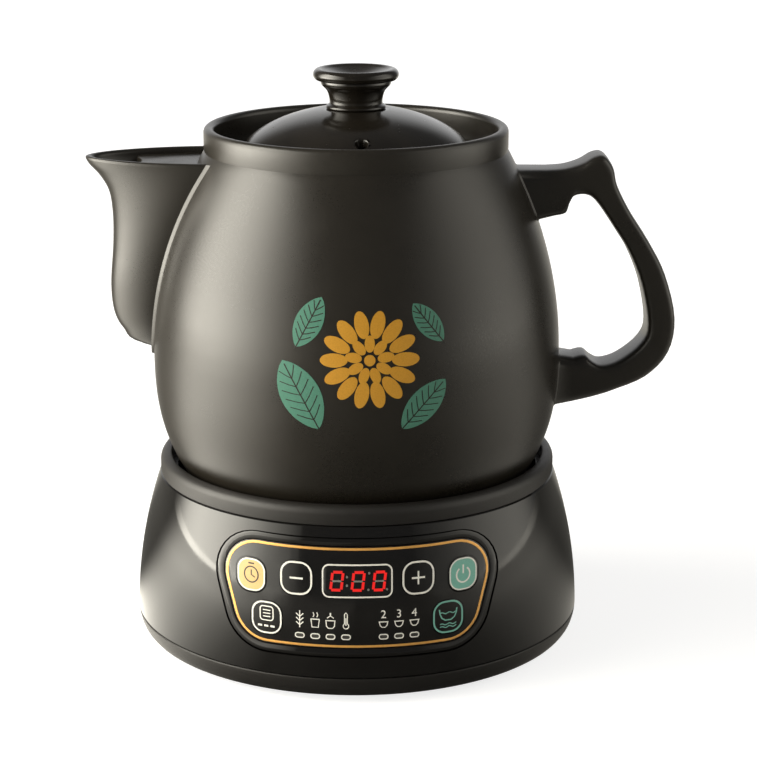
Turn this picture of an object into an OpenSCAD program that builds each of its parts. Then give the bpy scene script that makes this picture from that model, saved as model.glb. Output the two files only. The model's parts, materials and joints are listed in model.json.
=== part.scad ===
// Electric herbal decoction pot: a ceramic pot with a pouring spout, a side handle and a lift-off
// lid, standing in a heated base with a curved front panel. Millimetres, +Z up, floor at z = 0,
// spout towards -X, handle towards +X, front panel towards -Y.

/* [Ceramic pot] */
// Radius at the belly, the widest place
belly_r = 101.6; // [98:0.5:103]
// Height of the belly above the pot's foot
belly_h = 93; // [88:1:98]
// Radius where the body meets the collar
neck_r = 75.5; // [72:0.5:78]
// Height of the collar's lower edge above the foot
neck_h = 192; // [182:1:202]
// Radius of the foot
foot_r = 56; // [50:1:57]
// Wall thickness of the pot
pot_wall = 5.5; // [4:0.5:7]
// Thickness of the pot's floor
pot_floor = 6; // [5:0.5:9]
// Depth of the hollow inside the foot ring
foot_hollow = 2; // [1.9:0.1:3]
// Height of the collar, up to the top of its lip
collar_h = 13; // [11:0.5:18]
// Thickness of the collar's lip
lip_t = 5.2; // [4:0.1:6]
// Inner radius of the ledge that the lid rests on
ledge_r = 63.5; // [58:0.5:64.5]
// Thickness of the ledge
ledge_t = 5; // [4:0.5:7]

/* [Spout] */
// Reach of the spout's tip from the pot's axis
spout_reach = 133.9; // [128:0.5:140]
// Half of the spout's width where it meets the collar
spout_half_w = 28.5; // [25:0.5:31]
// Wall thickness of the spout
spout_wall = 4; // [3:0.5:5]
// Radius of the strainer holes behind the spout
strainer_hole_r = 2.5; // [1.5:0.25:3]
// Distance of the covering bridge's free end from the pot's axis
bridge_reach = 104; // [98:1:110]

/* [Handle] */
// Reach of the handle from the pot's axis
handle_reach = 159; // [152:1:166]
// Width of the handle, front to back
handle_w = 25; // [20:1:30]

/* [Lid] */
// Radius of the dome's sphere
dome_r = 81; // [76:1:95]
// Height of the dome's top above the lid's seat
dome_h = 27.5; // [24:0.5:30]
// Thickness of the lid
lid_wall = 4.5; // [3.5:0.5:6]
// Gap between the lid's edge and the collar
lid_gap = 1.2; // [0.8:0.1:2]
// Radius of the steam hole
steam_hole_r = 3.1; // [2:0.1:4]
// Radius of the knob's disc
knob_r = 21; // [18:0.2:26]
// Height of the knob
knob_h = 19.8; // [17:0.2:24]
// Radius of the knob's neck
knob_neck_r = 12.8; // [10:0.2:14]

/* [Base] */
// Clear gap between the pot and the ring around it
ring_gap = 2.2; // [1.8:0.1:3.2]
// How much wider the shell is at its bottom than at its top
shell_flare = 12.8; // [11:0.2:15]
// Height of the seam under the shell
shell_bottom_z = 13.4; // [12:0.2:15]
// Height of the seam over the shell
shell_top_z = 85.1; // [84:0.1:88]
// How far the shell's side bulges
shell_bulge = 3; // [1.5:0.1:3.5]
// Wall thickness of the shell
shell_wall = 2.5; // [2:0.1:3]
// Height of the matte ring above the shell
ring_h = 9.4; // [8:0.1:12]
// Width of the ring's top
ring_w = 6; // [5:0.1:7]
// Height of the rubber feet under the cover
foot_h = 3; // [2:0.2:5]
// Thickness of the bottom cover
cover_t = 2.5; // [2:0.1:3]

/* [Heater] */
// Height of the heater plate's top, where the pot stands
plate_top_z = 54; // [53:0.5:56]
// Radius of the heater plate
plate_r = 59; // [57.5:0.5:60]
// Thickness of the heater plate's rim
plate_t = 3.8; // [3:0.1:4.5]
// Gap between the pot and the wall of the well
well_gap = 4.5; // [3.5:0.1:5]
// Thickness of the well's wall
well_t = 1.5; // [1:0.1:1.8]
// Radius of the circle that the heating tube follows
element_r = 42; // [38:0.5:44]
// Radius of the heating tube
tube_r = 3.4; // [2.5:0.1:3.8]
// Radius of the sensor cap
sensor_r = 9.1; // [7:0.1:9.5]
// Travel of the sensor cap, and its height above the plate
sensor_travel = 1.7; // [1:0.1:1.8]

/* [Front panel] */
// Half of the panel's width at its top edge
panel_top_half_w = 68.4; // [66:0.2:70]
// Half of the panel's width at its bottom edge
panel_bottom_half_w = 55.4; // [54:0.2:58]
// Height of the panel's bottom edge
panel_bottom_z = 28.2; // [27:0.2:29]
// Height of the panel's top edge
panel_top_z = 75.9; // [75:0.2:76.5]
// Width of the bezel around the panel
bezel_w = 3.9; // [3.2:0.1:4.3]
// Width of the gold line
gold_w = 1.1; // [0.6:0.1:1.6]
// Width and height of a key
key_size = 16.4; // [14:0.2:17]
// Travel of a key
key_travel = 0.5; // [0.3:0.05:0.6]
// Height of the upper row of keys
key_row_z = 59.3; // [58:0.1:61]
// Height of the lower row of keys
low_row_z = 40.4; // [39.5:0.1:41]
// Distance of the outer keys from the middle
outer_key_x = 50.3; // [48:0.1:51.5]
// Distance of the minus and plus keys from the middle
inner_key_x = 28.8; // [27:0.1:30]
// Distance of the lower keys from the middle
low_key_x = 43; // [41:0.1:44]
// Width of the display window
window_w = 31.4; // [28:0.2:33]
// Height of the display window
window_h = 13.6; // [12:0.2:15]

/* [Power inlet] */
// Height of the inlet's middle
inlet_z = 36; // [34:0.5:40]
// Width of the inlet's flange
flange_w = 32; // [28:0.5:36]
// Height of the inlet's flange
flange_h = 25; // [22:0.5:28]

/* [Hidden] */

// Steps along the pot's, the shell's and the dome's outlines
outline_steps = 18;
// Small working gap between pieces that must not bind
fit_gap = 0.15;
// Offset of the pot's axis that puts the whole object's middle on x = 0
axis_x = -(handle_reach - spout_reach) / 2;
// Exponents of the pot's outline above and below the belly
upper_curve = 2;
lower_curve = 2.65;

// ---------------------------------------------------------------- helpers

// Points along an arc
function arc(cx, cy, r, a0, a1, n) =
    [for (i = [0 : n]) let (a = a0 + (a1 - a0) * i / n) [cx + r * cos(a), cy + r * sin(a)]];

// One point of a smooth curve between b and c
function blend_point(a, b, c, d, t) =
    0.5 * (2 * b + (c - a) * t + (2 * a - 5 * b + 4 * c - d) * t * t
        + (3 * b - a - 3 * c + d) * t * t * t);

// A smooth curve through the points p, with n steps between neighbours
function smooth(p, n) = [
    for (i = [0 : len(p) - 2], k = [0 : n - 1])
        blend_point(p[max(i - 1, 0)], p[i], p[i + 1], p[min(i + 2, len(p) - 1)], k / n),
    p[len(p) - 1]
];

// Cosine and sine raised to a power that keeps their sign, for squared-off rounds
function soft_power(v, e) = sign(v) * pow(abs(v), e);

// The corner b of a polygon, replaced by a round of radius r between its sides
function round_corner(a, b, c, r, n) =
    let (u = (a - b) / norm(a - b), v = (c - b) / norm(c - b),
         half = acos(u * v) / 2,
         mid = b + (u + v) / norm(u + v) * r / sin(half),
         p = b + u * r / tan(half) - mid,
         q = b + v * r / tan(half) - mid,
         a0 = atan2(p[1], p[0]),
         turn = atan2(p[0] * q[1] - p[1] * q[0], p * q))
    [for (i = [0 : n]) mid + r * [cos(a0 + turn * i / n), sin(a0 + turn * i / n)]];

function rounded(p, r, n) = [
    for (i = [0 : len(p) - 1])
        each round_corner(p[(i + len(p) - 1) % len(p)], p[i], p[(i + 1) % len(p)], r[i], n)
];

// A rounded rectangle around the origin
function rounded_box(w, h, r, n) =
    rounded([[-w / 2, -h / 2], [w / 2, -h / 2], [w / 2, h / 2], [-w / 2, h / 2]], [r, r, r, r], n);

function centre(ring) = [for (k = [0 : 2]) [for (p = ring) p[k]] * [for (p = ring) 1] / len(ring)];

// A solid through closed rings of points; strip = true closes ends that are bent like a C
module loft(rings, strip = false) {
    m = len(rings[0]);
    n = len(rings);
    last = (n - 1) * m;
    sides = [
        for (i = [0 : n - 2], j = [0 : m - 1]) let (a = i * m + j, b = i * m + (j + 1) % m)
            each [[a, a + m, b + m], [a, b + m, b]]
    ];
    fans = [
        for (j = [0 : m - 1]) let (k = (j + 1) % m)
            each [[n * m, j, k], [n * m + 1, last + k, last + j]]
    ];
    strips = [
        for (j = [0 : m / 2 - 2]) let (k = m - 1 - j)
            each [[j, j + 1, k - 1], [j, k - 1, k],
                  [last + j, last + k - 1, last + j + 1], [last + j, last + k, last + k - 1]]
    ];
    body = [for (r = rings) each r];
    if (strip) polyhedron(body, concat(sides, strips));
    else polyhedron(concat(body, [centre(rings[0]), centre(rings[n - 1])]), concat(sides, fans));
}

// A round tube along the points of a route
module tube(route, r, sides) {
    n = len(route);
    loft([
        for (i = [0 : n - 1])
            let (d = route[min(i + 1, n - 1)] - route[max(i - 1, 0)],
                 t = d / norm(d),
                 ref = abs(t[2]) > 0.9 ? [1, 0, 0] : [0, 0, 1],
                 u = cross(ref, t) / norm(cross(ref, t)),
                 v = cross(t, u))
            [for (k = [0 : sides - 1])
                route[i] + r * (cos(360 * k / sides) * u + sin(360 * k / sides) * v)]
    ]);
}

module turned(p) rotate_extrude($fn = 96) polygon(p);

// Everything is drawn around the pot's axis and then moved here
module place() translate([axis_x, 0, 0]) children();

// Cuts through the front of the base, of an outline seen from the front
module from_front(outline) translate([0, -shell_top_r / 2, 0]) rotate([90, 0, 0])
    linear_extrude(shell_bottom_r) polygon(outline);

// A straight pin along Y, from y0 back to y1
module pin_y(x, z, r, y0, y1) translate([x, y1, z]) rotate([90, 0, 0])
    cylinder(h = y1 - y0, r = r, $fn = 32);

function moved(p, x, z) = [for (q = p) q + [x, z]];

// ---------------------------------------------------------------- ceramic pot

collar_r = neck_r - 0.6;
rim_h = neck_h + collar_h;
collar_in_r = collar_r - lip_t;
// The lid sits below the rim, on the ledge
ledge_h = neck_h - 5;
inner_floor_h = foot_hollow + pot_floor;
// Width of the ring that the pot stands on
foot_ring_w = 12;

// Outer radius of the pot at a height above its foot
function pot_r(h) = h > belly_h
    ? belly_r - (belly_r - neck_r) * pow((h - belly_h) / (neck_h - belly_h), upper_curve)
    : belly_r - (belly_r - foot_r) * pow((belly_h - h) / belly_h, lower_curve);

// Inner radius of the pot
function pot_in_r(h) = h > belly_h
    ? pot_r(h) - pot_wall
    : belly_r - pot_wall
        - (belly_r - foot_r) * pow((belly_h - h) / (belly_h - inner_floor_h), lower_curve);

// Heights spread evenly between two heights
function heights(h0, h1, n) = [for (i = [0 : n]) h0 + (h1 - h0) * i / n];

module pot_profile() {
    lip_r = lip_t / 2;
    under_ledge = ledge_h - ledge_t;
    turned(concat(
        [[0, foot_hollow], [foot_r - foot_ring_w - 1, foot_hollow], [foot_r - foot_ring_w, 0]],
        [for (h = heights(0, neck_h, 2 * outline_steps)) [pot_r(h), h]],
        [[collar_r - 0.3, neck_h + 1.2], [collar_r, neck_h + 2.4]],
        arc(collar_r - lip_r, rim_h - lip_r, lip_r, 0, 180, 8),
        [[collar_in_r, ledge_h], [ledge_r, ledge_h], [ledge_r, under_ledge]],
        [for (h = heights(under_ledge - 4, inner_floor_h, 2 * outline_steps)) [pot_in_r(h), h]],
        [[0, inner_floor_h]]
    ));
}

// Places of the strainer holes behind the spout, as many as its hollow has room for
function strainer_places(pitch = 11) = [
    for (h = [spout_foot_h + 16 : pitch : spout_top_h - 14], k = [-2 : 2])
        if (abs(k) * pitch + strainer_hole_r + 1.5 < spout_at(h)[2] - spout_wall)
            [h, k * pitch]
];

// The pot between two heights. It is one fired piece, kept as three: foot, wall and collar
wall_from_h = inner_floor_h + 24;
wall_to_h = ledge_h - ledge_t - 4;

module pot_slice(h0, h1) {
    intersection() {
        pot_profile();
        translate([0, 0, h0]) cylinder(h = h1 - h0, r = belly_r + 10, $fn = 96);
    }
}

module pot_foot() {
    color([0.30, 0.28, 0.25]) place() translate([0, 0, plate_top_z]) pot_slice(-1, wall_from_h);
}

module pot_collar() {
    color([0.30, 0.28, 0.25]) place() translate([0, 0, plate_top_z])
        pot_slice(wall_to_h, rim_h + 1);
}

module pot_body() {
    color([0.30, 0.28, 0.25]) place() translate([0, 0, plate_top_z]) difference() {
        pot_slice(wall_from_h, wall_to_h);
        for (s = strainer_places())
            translate([-belly_r - 1, s[1], s[0]]) rotate([0, 90, 0])
                cylinder(h = belly_r - 35, r = strainer_hole_r, $fn = 32);
    }
}

// ---------------------------------------------------------------- spout

// Heights of the spout's lowest point and of its level top, above the pot's foot
spout_foot_h = belly_h - 2;
spout_top_h = neck_h - 1.7;
// Side outline: height from foot to top, reach and half width, each as a share of its full size
spout_shape = [
    [0.00, -0.985, 0.16], [0.05, 0.22, 0.30], [0.12, 0.48, 0.42], [0.21, 0.615, 0.51],
    [0.35, 0.65, 0.59], [0.55, 0.60, 0.69], [0.70, 0.59, 0.78], [0.82, 0.635, 0.865],
    [0.90, 0.765, 0.93], [0.96, 0.93, 0.98], [1.00, 1.00, 1.00]
];
spout_rings = smooth(spout_shape, 3);

// Reach 0 is the belly, and reach 1 the tip
function spout_row(s) = [
    spout_foot_h + (spout_top_h - spout_foot_h) * s[0],
    s[1] < -0.9 ? belly_r + 0.8 : belly_r + (spout_reach - belly_r) * s[1],
    spout_half_w * s[2]
];

// Height, reach and half width at a height, between the outline's rings
function spout_at(h) =
    let (rows = [for (s = spout_rings) spout_row(s)],
         below = [for (r = rows) if (r[0] <= h) r],
         a = below[len(below) - 1],
         b = rows[min(len(below), len(rows) - 1)],
         t = b[0] > a[0] ? (h - a[0]) / (b[0] - a[0]) : 0)
    a + (b - a) * t;

// Rounded wedge outline of the spout at one height; inset moves it inwards
nose_steps = 18;
nose_power = 2 / 1.75;
function on_pot(h, y) = sqrt(pow(pot_r(h) + fit_gap, 2) - y * y);

function nose(row, half_w, reach) = [
    for (i = [0 : nose_steps])
        let (a = 90 - 180 * i / nose_steps,
             root = on_pot(row[0], half_w),
             y = half_w * soft_power(sin(a), nose_power),
             x = max(on_pot(row[0], y), root + (reach - root) * soft_power(cos(a), nose_power)))
        [-x, y, row[0]]
];

function reversed(p) = [for (i = [len(p) - 1 : -1 : 0]) p[i]];

// The hollow opens gradually above the spout's solid foot
function hollow_reach(row) =
    let (root = on_pot(row[0], 0), open = min(max((row[0] - spout_foot_h - 7) / 10, 0), 1))
    root + max(row[1] - spout_wall - root, 0) * open;

function spout_ring(row) =
    concat(nose(row, row[2], row[1]),
           reversed(nose(row, max(row[2] - spout_wall, 0.35 * row[2]), hollow_reach(row))));

module pot_spout() {
    bridge_t = 3;
    bridge_row = spout_at(spout_top_h - 4);
    hollow = nose(bridge_row, bridge_row[2] - spout_wall + 0.8, bridge_row[1] - spout_wall + 0.8);
    mouth_r = 25;
    color([0.30, 0.28, 0.25]) place() translate([0, 0, plate_top_z]) union() {
        loft([for (s = spout_rings) spout_ring(spout_row(s))], strip = true);
        // bridge that covers the spout's channel as far as its mouth
        translate([0, 0, spout_top_h - 3 - bridge_t]) difference() {
            linear_extrude(bridge_t) polygon([for (p = hollow) [p[0], p[1]]]);
            translate([-bridge_reach - mouth_r + 3, 0, -1])
                cylinder(h = bridge_t + 2, r = mouth_r, $fn = 64);
            translate([-bridge_reach - 60, -50, -1]) cube([60, 100, bridge_t + 2]);
            cylinder(h = 3 * bridge_t, r = pot_r(bridge_row[0]) + 1, center = true, $fn = 96);
        }
    }
}

// ---------------------------------------------------------------- handle

// Pairs of points on the outer and the inner outline, seen from the front. Each pair is
// [outer x, outer height, inner x, inner height]; heights are above the pot's foot, and x counts
// from the axis on a handle that reaches 158 mm.
handle_pairs = [
    [93, 184.0, 97, 160.8], [102, 184.7, 102.4, 162.2], [110, 187.2, 103.6, 166.5],
    [116, 190.6, 105.6, 170.3], [121, 190.8, 110, 171.6], [125.4, 185, 114.5, 170.6],
    [127.6, 176, 119, 166.0], [134.2, 163, 126.4, 155], [144.2, 147.3, 133.8, 143],
    [152.5, 131, 140.5, 126.4], [158, 109, 144.2, 106], [155.2, 91.5, 141.2, 96.4],
    [144.2, 79, 131, 87.8], [128, 71.8, 122.4, 85], [120, 69, 117.4, 87],
    [113.6, 67.2, 113.4, 90.1], [107.5, 65.8, 107.8, 89]
];
// Top and bottom of the two places where the handle meets the pot
upper_root = [183.9, 159.2];
lower_root = [64.3, 89.9];
handle_scale = handle_reach / 158;
handle_sides = 20;
// Section of the handle: a rounded rectangle
section_power = 2 / 4.2;

function handle_section(outer, inner, half_w) = [
    for (k = [0 : handle_sides - 1])
        let (a = 360 * k / handle_sides,
             across = soft_power(cos(a), section_power), deep = soft_power(sin(a), section_power),
             p = (outer + inner) / 2 + (outer - inner) / 2 * across)
        [p[0], -half_w * deep, p[1]]
];

// A ring that lies on the pot's surface; s shrinks it towards its middle
function root_ring(top, bottom, s) = [
    for (p = handle_section([0, (top + bottom) / 2 + s * (top - bottom) / 2],
                            [0, (top + bottom) / 2 - s * (top - bottom) / 2], s * handle_w / 2))
        [on_pot(p[2], p[1]), p[1], p[2]]
];

module pot_handle() {
    rings = [
        for (p = smooth(handle_pairs, 2))
            handle_section([p[0] * handle_scale, p[1]], [p[2] * handle_scale, p[3]], handle_w / 2)
    ];
    root_steps = [0.35, 0.7, 1];
    color([0.30, 0.28, 0.25]) place() translate([0, 0, plate_top_z]) loft(concat(
        [for (s = root_steps) root_ring(upper_root[0], upper_root[1], s)],
        rings,
        [for (s = reversed(root_steps)) root_ring(lower_root[0], lower_root[1], s)]
    ));
}

// ---------------------------------------------------------------- lid

lid_z = plate_top_z + ledge_h;
lid_r = collar_in_r - lid_gap;
flange_t = 3.6;
knob_seat_z = dome_h - 1.2;
dome_centre = dome_h - dome_r;

// Height of the dome at a radius, above the lid's seat
function dome_z(r) = dome_centre + sqrt(dome_r * dome_r - r * r);
dome_foot_r = sqrt(dome_r * dome_r - pow(flange_t - dome_centre, 2));
seat_r = sqrt(dome_r * dome_r - pow(knob_seat_z - dome_centre, 2));
spigot_r = 5;
spigot_h = lid_wall / 2 - 0.5;

module lid_dome() {
    in_r = dome_r - lid_wall;
    skirt_r = ledge_r - 1.2;
    skirt_h = 4;
    under_r = sqrt(in_r * in_r - pow(-skirt_h - dome_centre, 2));
    color([0.17, 0.15, 0.12]) place() translate([0, 0, lid_z]) difference() {
        turned(concat(
            [[0, in_r + dome_centre]],
            [for (r = heights(4, min(under_r, skirt_r - 2.5), outline_steps))
                [r, dome_centre + sqrt(in_r * in_r - r * r)]],
            [[skirt_r - 2.5, -skirt_h], [skirt_r, -skirt_h], [skirt_r, 0], [lid_r - 0.8, 0],
             [lid_r, 0.8], [lid_r, flange_t - 1], [lid_r - 1, flange_t]],
            [for (r = heights(dome_foot_r, seat_r, outline_steps)) [r, dome_z(r)]],
            [[0, knob_seat_z]]
        ));
        // steam hole, low on the front of the dome
        translate([2.5, -46, 0]) cylinder(h = dome_h, r = steam_hole_r, $fn = 32);
        // socket for the knob's spigot
        translate([0, 0, knob_seat_z - spigot_h - 0.3])
            cylinder(h = spigot_h + 1, r = spigot_r + fit_gap, $fn = 48);
    }
}

module lid_knob() {
    disc_z = knob_h - 3.1;
    bead_r = 2.9;
    color([0.17, 0.15, 0.12]) place() translate([0, 0, lid_z + knob_seat_z]) turned(concat(
        [[0, -spigot_h], [spigot_r, -spigot_h], [spigot_r, 0], [knob_neck_r + 1.6, 0],
         [knob_neck_r + 1.9, 0.9], [knob_neck_r + 1.2, 1.8]],
        smooth([[knob_neck_r + 0.2, 2.6], [knob_neck_r + 0.4, 5.5], [knob_neck_r + 1.6, 9],
                [knob_neck_r + 4.2, 11.9], [knob_r - 3.8, disc_z - 2.4]], 3),
        arc(knob_r - bead_r, disc_z, bead_r, -60, 115, 9),
        [for (t = heights(0, 1, 6))
            [(knob_r - bead_r - 2.2) * (1 - t), disc_z + 2.1 - 3.6 * sin(90 * t)]]
    ));
}

// ---------------------------------------------------------------- base housing

ring_z = shell_top_z + 0.2;
ring_top_z = shell_top_z + ring_h;
// The base is sized around the pot: ring, then shell
ring_in_r = pot_r(ring_top_z - plate_top_z) + ring_gap;
shell_top_r = ring_in_r + ring_w;
shell_bottom_r = shell_top_r + shell_flare;
cover_z = foot_h;
cover_floor_z = cover_z + cover_t;
// Lip of the cover inside the shell
cover_lip_h = 3.5;

// Outer radius of the shell at a height
function shell_r(z) =
    let (t = (z - shell_bottom_z) / (shell_top_z - shell_bottom_z))
    shell_bottom_r + (shell_top_r - shell_bottom_r) * t + 4 * shell_bulge * t * (1 - t);

// Radius of the well's wall, inside
function well_r(z) = max(foot_r + 9.8, pot_r(z - plate_top_z) + well_gap);

well_top_z = shell_top_z + well_t;
// Ledge of the shell that carries the well and the ring
shell_ledge_r = max(ring_in_r - 0.8, well_r(shell_top_z) + well_t + 0.9);

module rim_ring() {
    round_r = 4;
    out_r = shell_top_r - 0.1;
    color([0.20, 0.19, 0.17]) place() turned(concat(
        [[out_r, ring_z]],
        arc(out_r - round_r, ring_top_z - round_r, round_r, 0, 90, 5),
        arc(ring_in_r + 1.2, ring_top_z - 1.2, 1.2, 90, 180, 3),
        [[ring_in_r, well_top_z + 0.2], [out_r - 2.6, well_top_z + 0.2], [out_r - 2.6, ring_z]]
    ));
}

// Shell wall between two depths under its outer surface
module shell_band(d0, d1, z0 = shell_bottom_z, z1 = shell_top_z) {
    turned(concat(
        [for (z = heights(z0, z1, 10)) [shell_r(z) - d0, z]],
        [for (z = heights(z1, z0, 10)) [shell_r(z) - d1, z]]
    ));
}

// A patch of that wall, cut to an outline seen from the front
module front_patch(outline, d0, d1) {
    intersection() {
        shell_band(d0, d1, panel_bottom_z - 12, panel_top_z + 8);
        from_front(outline);
    }
}

panel_side = (panel_top_half_w - panel_bottom_half_w) / (panel_top_z - panel_bottom_z);

// The panel's outline, grown by g on every side
function panel_outline(g) =
    let (z0 = panel_bottom_z - g, z1 = panel_top_z + g,
         w0 = panel_bottom_half_w + g * (1.05 - panel_side),
         w1 = panel_top_half_w + g * (1.05 + panel_side))
    rounded([[-w0, z0], [w0, z0], [w1, z1], [-w1, z1]],
            [16.5 + g, 16.5 + g, 16.5 + g, 16.5 + g], 8);

// Places of the four bosses that hold the cover
boss_r = 4.5;
boss_circle = shell_bottom_r - shell_wall - boss_r - 3;
boss_angles = [20, 160, 200, 340];
boss_bottom_z = cover_floor_z + 2.2;
boss_top_z = boss_bottom_z + 24;
screw_r = 1.5;
screw_head_r = 3.5;

module at_bosses() for (a = boss_angles) rotate([0, 0, a]) translate([boss_circle, 0, 0]) children();

inlet_face_y = shell_r(inlet_z) - 2.4;
inlet_pocket_d = 2;

module base_shell() {
    pad_t = 3;
    // the ribs start over the cover's lip
    rib_z = shell_bottom_z + cover_lip_h + 0.6 - boss_bottom_z;
    color([0.33, 0.30, 0.26]) place() difference() {
        union() {
            shell_band(0, shell_wall, shell_bottom_z + 0.4, shell_top_z);
            // ledge under the ring
            turned([[shell_ledge_r, shell_top_z - 2.6], [shell_top_r - 1, shell_top_z - 2.6],
                    [shell_top_r - 1, shell_top_z], [shell_ledge_r, shell_top_z]]);
            // bosses, each tied to the wall by a rib
            at_bosses() translate([0, 0, boss_bottom_z]) {
                cylinder(h = boss_top_z - boss_bottom_z, r = boss_r, $fn = 48);
                translate([0, -1.25, rib_z])
                    cube([boss_r + 4.2, 2.5, boss_top_z - boss_bottom_z - rib_z]);
            }
            // flat pad for the inlet
            intersection() {
                shell_band(0.5, 14, inlet_z - flange_h / 2 - 5, inlet_z + flange_h / 2 + 5);
                translate([-flange_w / 2 - 4, inlet_face_y - inlet_pocket_d - pad_t, 0])
                    cube([flange_w + 8, 40, shell_top_z]);
            }
        }
        from_front(panel_outline(bezel_w + 0.4));
        at_bosses() translate([0, 0, boss_bottom_z - 1])
            cylinder(h = 18, r = screw_r + 0.05, $fn = 32);
        // pocket and hole for the inlet
        translate([-flange_w / 2 - fit_gap, inlet_face_y - inlet_pocket_d,
                   inlet_z - flange_h / 2 - fit_gap])
            cube([flange_w + 2 * fit_gap, 40, flange_h + 2 * fit_gap]);
        translate([-socket_w / 2 - fit_gap, 60, inlet_z - socket_h / 2 - fit_gap])
            cube([socket_w + 2 * fit_gap, 60, socket_h + 2 * fit_gap]);
    }
}

foot_circle = shell_bottom_r - 22;
foot_r_rubber = 9;
foot_angles = [45, 135, 225, 315];
stem_r = 3;
// Vents in the cover's floor
vent_count = 12;
vent_w = 3;
vent_l = 20;
// Posts that carry the power board
board_x = [-42, 42];
board_y = [32, 84];
post_inset = 4;
post_r = 3.2;
power_board_z = 12;

module at_posts() for (x = [board_x[0] + post_inset, board_x[1] - post_inset],
                       y = [board_y[0] + post_inset, board_y[1] - post_inset])
    translate([x, y, 0]) children();

module bottom_cover() {
    r = shell_bottom_r;
    lip_out = r - shell_wall - 0.4;
    seam_z = shell_bottom_z;
    color([0.19, 0.18, 0.16]) place() difference() {
        union() {
            turned(concat(
                [[0, cover_z], [r - 6, cover_z], [r - 3.8, cover_z + 1], [r - 1.6, cover_z + 4],
                 [r - 0.4, seam_z - 2.6], [r, seam_z], [lip_out, seam_z],
                 [lip_out, seam_z + cover_lip_h], [lip_out - 2, seam_z + cover_lip_h],
                 [lip_out - 2, cover_floor_z + 4], [lip_out - 5, cover_floor_z],
                 [0, cover_floor_z]]
            ));
            at_bosses() translate([0, 0, cover_floor_z - 0.5]) cylinder(h = 2.5, r = 5.6, $fn = 48);
            at_posts() translate([0, 0, cover_floor_z - 0.5])
                cylinder(h = power_board_z - cover_floor_z + 0.5, r = post_r, $fn = 32);
        }
        at_bosses() {
            translate([0, 0, cover_z - 1]) cylinder(h = 20, r = screw_r + 0.4, $fn = 32);
            translate([0, 0, cover_z - 1]) cylinder(h = 3, r = screw_head_r + 0.3, $fn = 32);
        }
        for (a = foot_angles) rotate([0, 0, a]) translate([foot_circle, 0, cover_z - 1])
            cylinder(h = cover_t + 2, r = stem_r + 0.1, $fn = 32);
        for (i = [0 : vent_count - 1]) rotate([0, 0, 360 * i / vent_count + 15])
            translate([48, -vent_w / 2, cover_z - 1]) cube([vent_l, vent_w, cover_t + 2]);
    }
}

module rubber_feet() {
    color([0.08, 0.08, 0.08]) place() for (a = foot_angles)
        rotate([0, 0, a]) translate([foot_circle, 0, 0]) turned([
            [0, 0], [foot_r_rubber - 1, 0], [foot_r_rubber, 1], [foot_r_rubber, foot_h],
            [stem_r, foot_h], [stem_r, cover_floor_z + 0.1], [stem_r + 0.8, cover_floor_z + 0.1],
            [stem_r - 0.6, cover_floor_z + 2], [0, cover_floor_z + 2]
        ]);
}

module cover_screws() {
    head_z = cover_z + 2;
    color("silver") place() at_bosses() translate([0, 0, head_z]) difference() {
        union() {
            translate([0, 0, -1.8]) cylinder(h = 1.8, r = screw_head_r, $fn = 32);
            translate([0, 0, -0.5]) cylinder(h = 15, r = screw_r, $fn = 32);
        }
        for (a = [0, 90]) rotate([0, 0, a]) translate([-2, -0.4, -2.8]) cube([4, 0.8, 2]);
    }
}

// ---------------------------------------------------------------- well and heater

gasket_t = 1;
liner_floor_z = plate_top_z - plate_t - gasket_t;
plate_hub_r = plate_r - 4.5;
plate_bottom_z = plate_top_z - 8;
liner_hole_r = plate_hub_r + 0.6;

module well_liner() {
    levels = heights(plate_top_z + 4, shell_top_z, outline_steps);
    color([0.07, 0.07, 0.07]) place() turned(concat(
        [[liner_hole_r, liner_floor_z], [well_r(plate_top_z) - 1, liner_floor_z],
         [well_r(plate_top_z), liner_floor_z + 1]],
        [for (z = levels) [well_r(z), z]],
        [[well_r(shell_top_z) + 0.6, well_top_z], [shell_top_r - 3.4, well_top_z],
         [shell_top_r - 3.4, shell_top_z]],
        [for (z = reversed(levels)) [well_r(z) + well_t + (z == shell_top_z ? 0.6 : 0), z]],
        [[well_r(plate_top_z) + well_t, liner_floor_z - well_t],
         [liner_hole_r, liner_floor_z - well_t]]
    ));
}

// Soft pads on the rim of the well that keep the pot in the middle
pad_angles = [-133, -47, 47, 133];
pad_w = 12;
pad_h = 5;
module centring_pads() {
    pad_t = 2.6;
    color([0.28, 0.27, 0.25]) place() for (a = pad_angles) rotate([0, 0, a])
        intersection() {
            turned([[ring_in_r - 0.1 - pad_t, well_top_z], [ring_in_r - 0.1, well_top_z],
                    [ring_in_r - 0.1, well_top_z + pad_h],
                    [ring_in_r - 0.1 - pad_t + 1, well_top_z + pad_h]]);
            translate([0, -pad_w / 2, 0]) cube([shell_top_r, pad_w, ring_top_z]);
        }
}

module plate_gasket() {
    color([0.55, 0.20, 0.15]) place() turned([
        [liner_hole_r + 0.3, liner_floor_z], [plate_r, liner_floor_z],
        [plate_r, liner_floor_z + gasket_t], [liner_hole_r + 0.3, liner_floor_z + gasket_t]
    ]);
}

stud_circle = 24;
stud_r = 2.5;
stud_angles = [60, 180, 300];
shield_z = plate_top_z - 20;
shield_t = 1;
nut_h = 3.2;
element_z = plate_bottom_z - 0.9;
// Angle from the rear at which the heating tube's ends turn down
element_gap = 24;

module at_studs() for (a = stud_angles) rotate([0, 0, a]) translate([stud_circle, 0, 0]) children();

module element_path(r) {
    difference() {
        rotate_extrude($fn = 96) translate([element_r, 0]) circle(r = r, $fn = 32);
        linear_extrude(20, center = true)
            polygon([[0, 0], 80 * [sin(-element_gap), cos(element_gap)],
                     80 * [sin(element_gap), cos(element_gap)]]);
    }
}

module at_element_ends() for (s = [-1, 1])
    translate([s * element_r * sin(element_gap), element_r * cos(element_gap), 0]) children();

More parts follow.
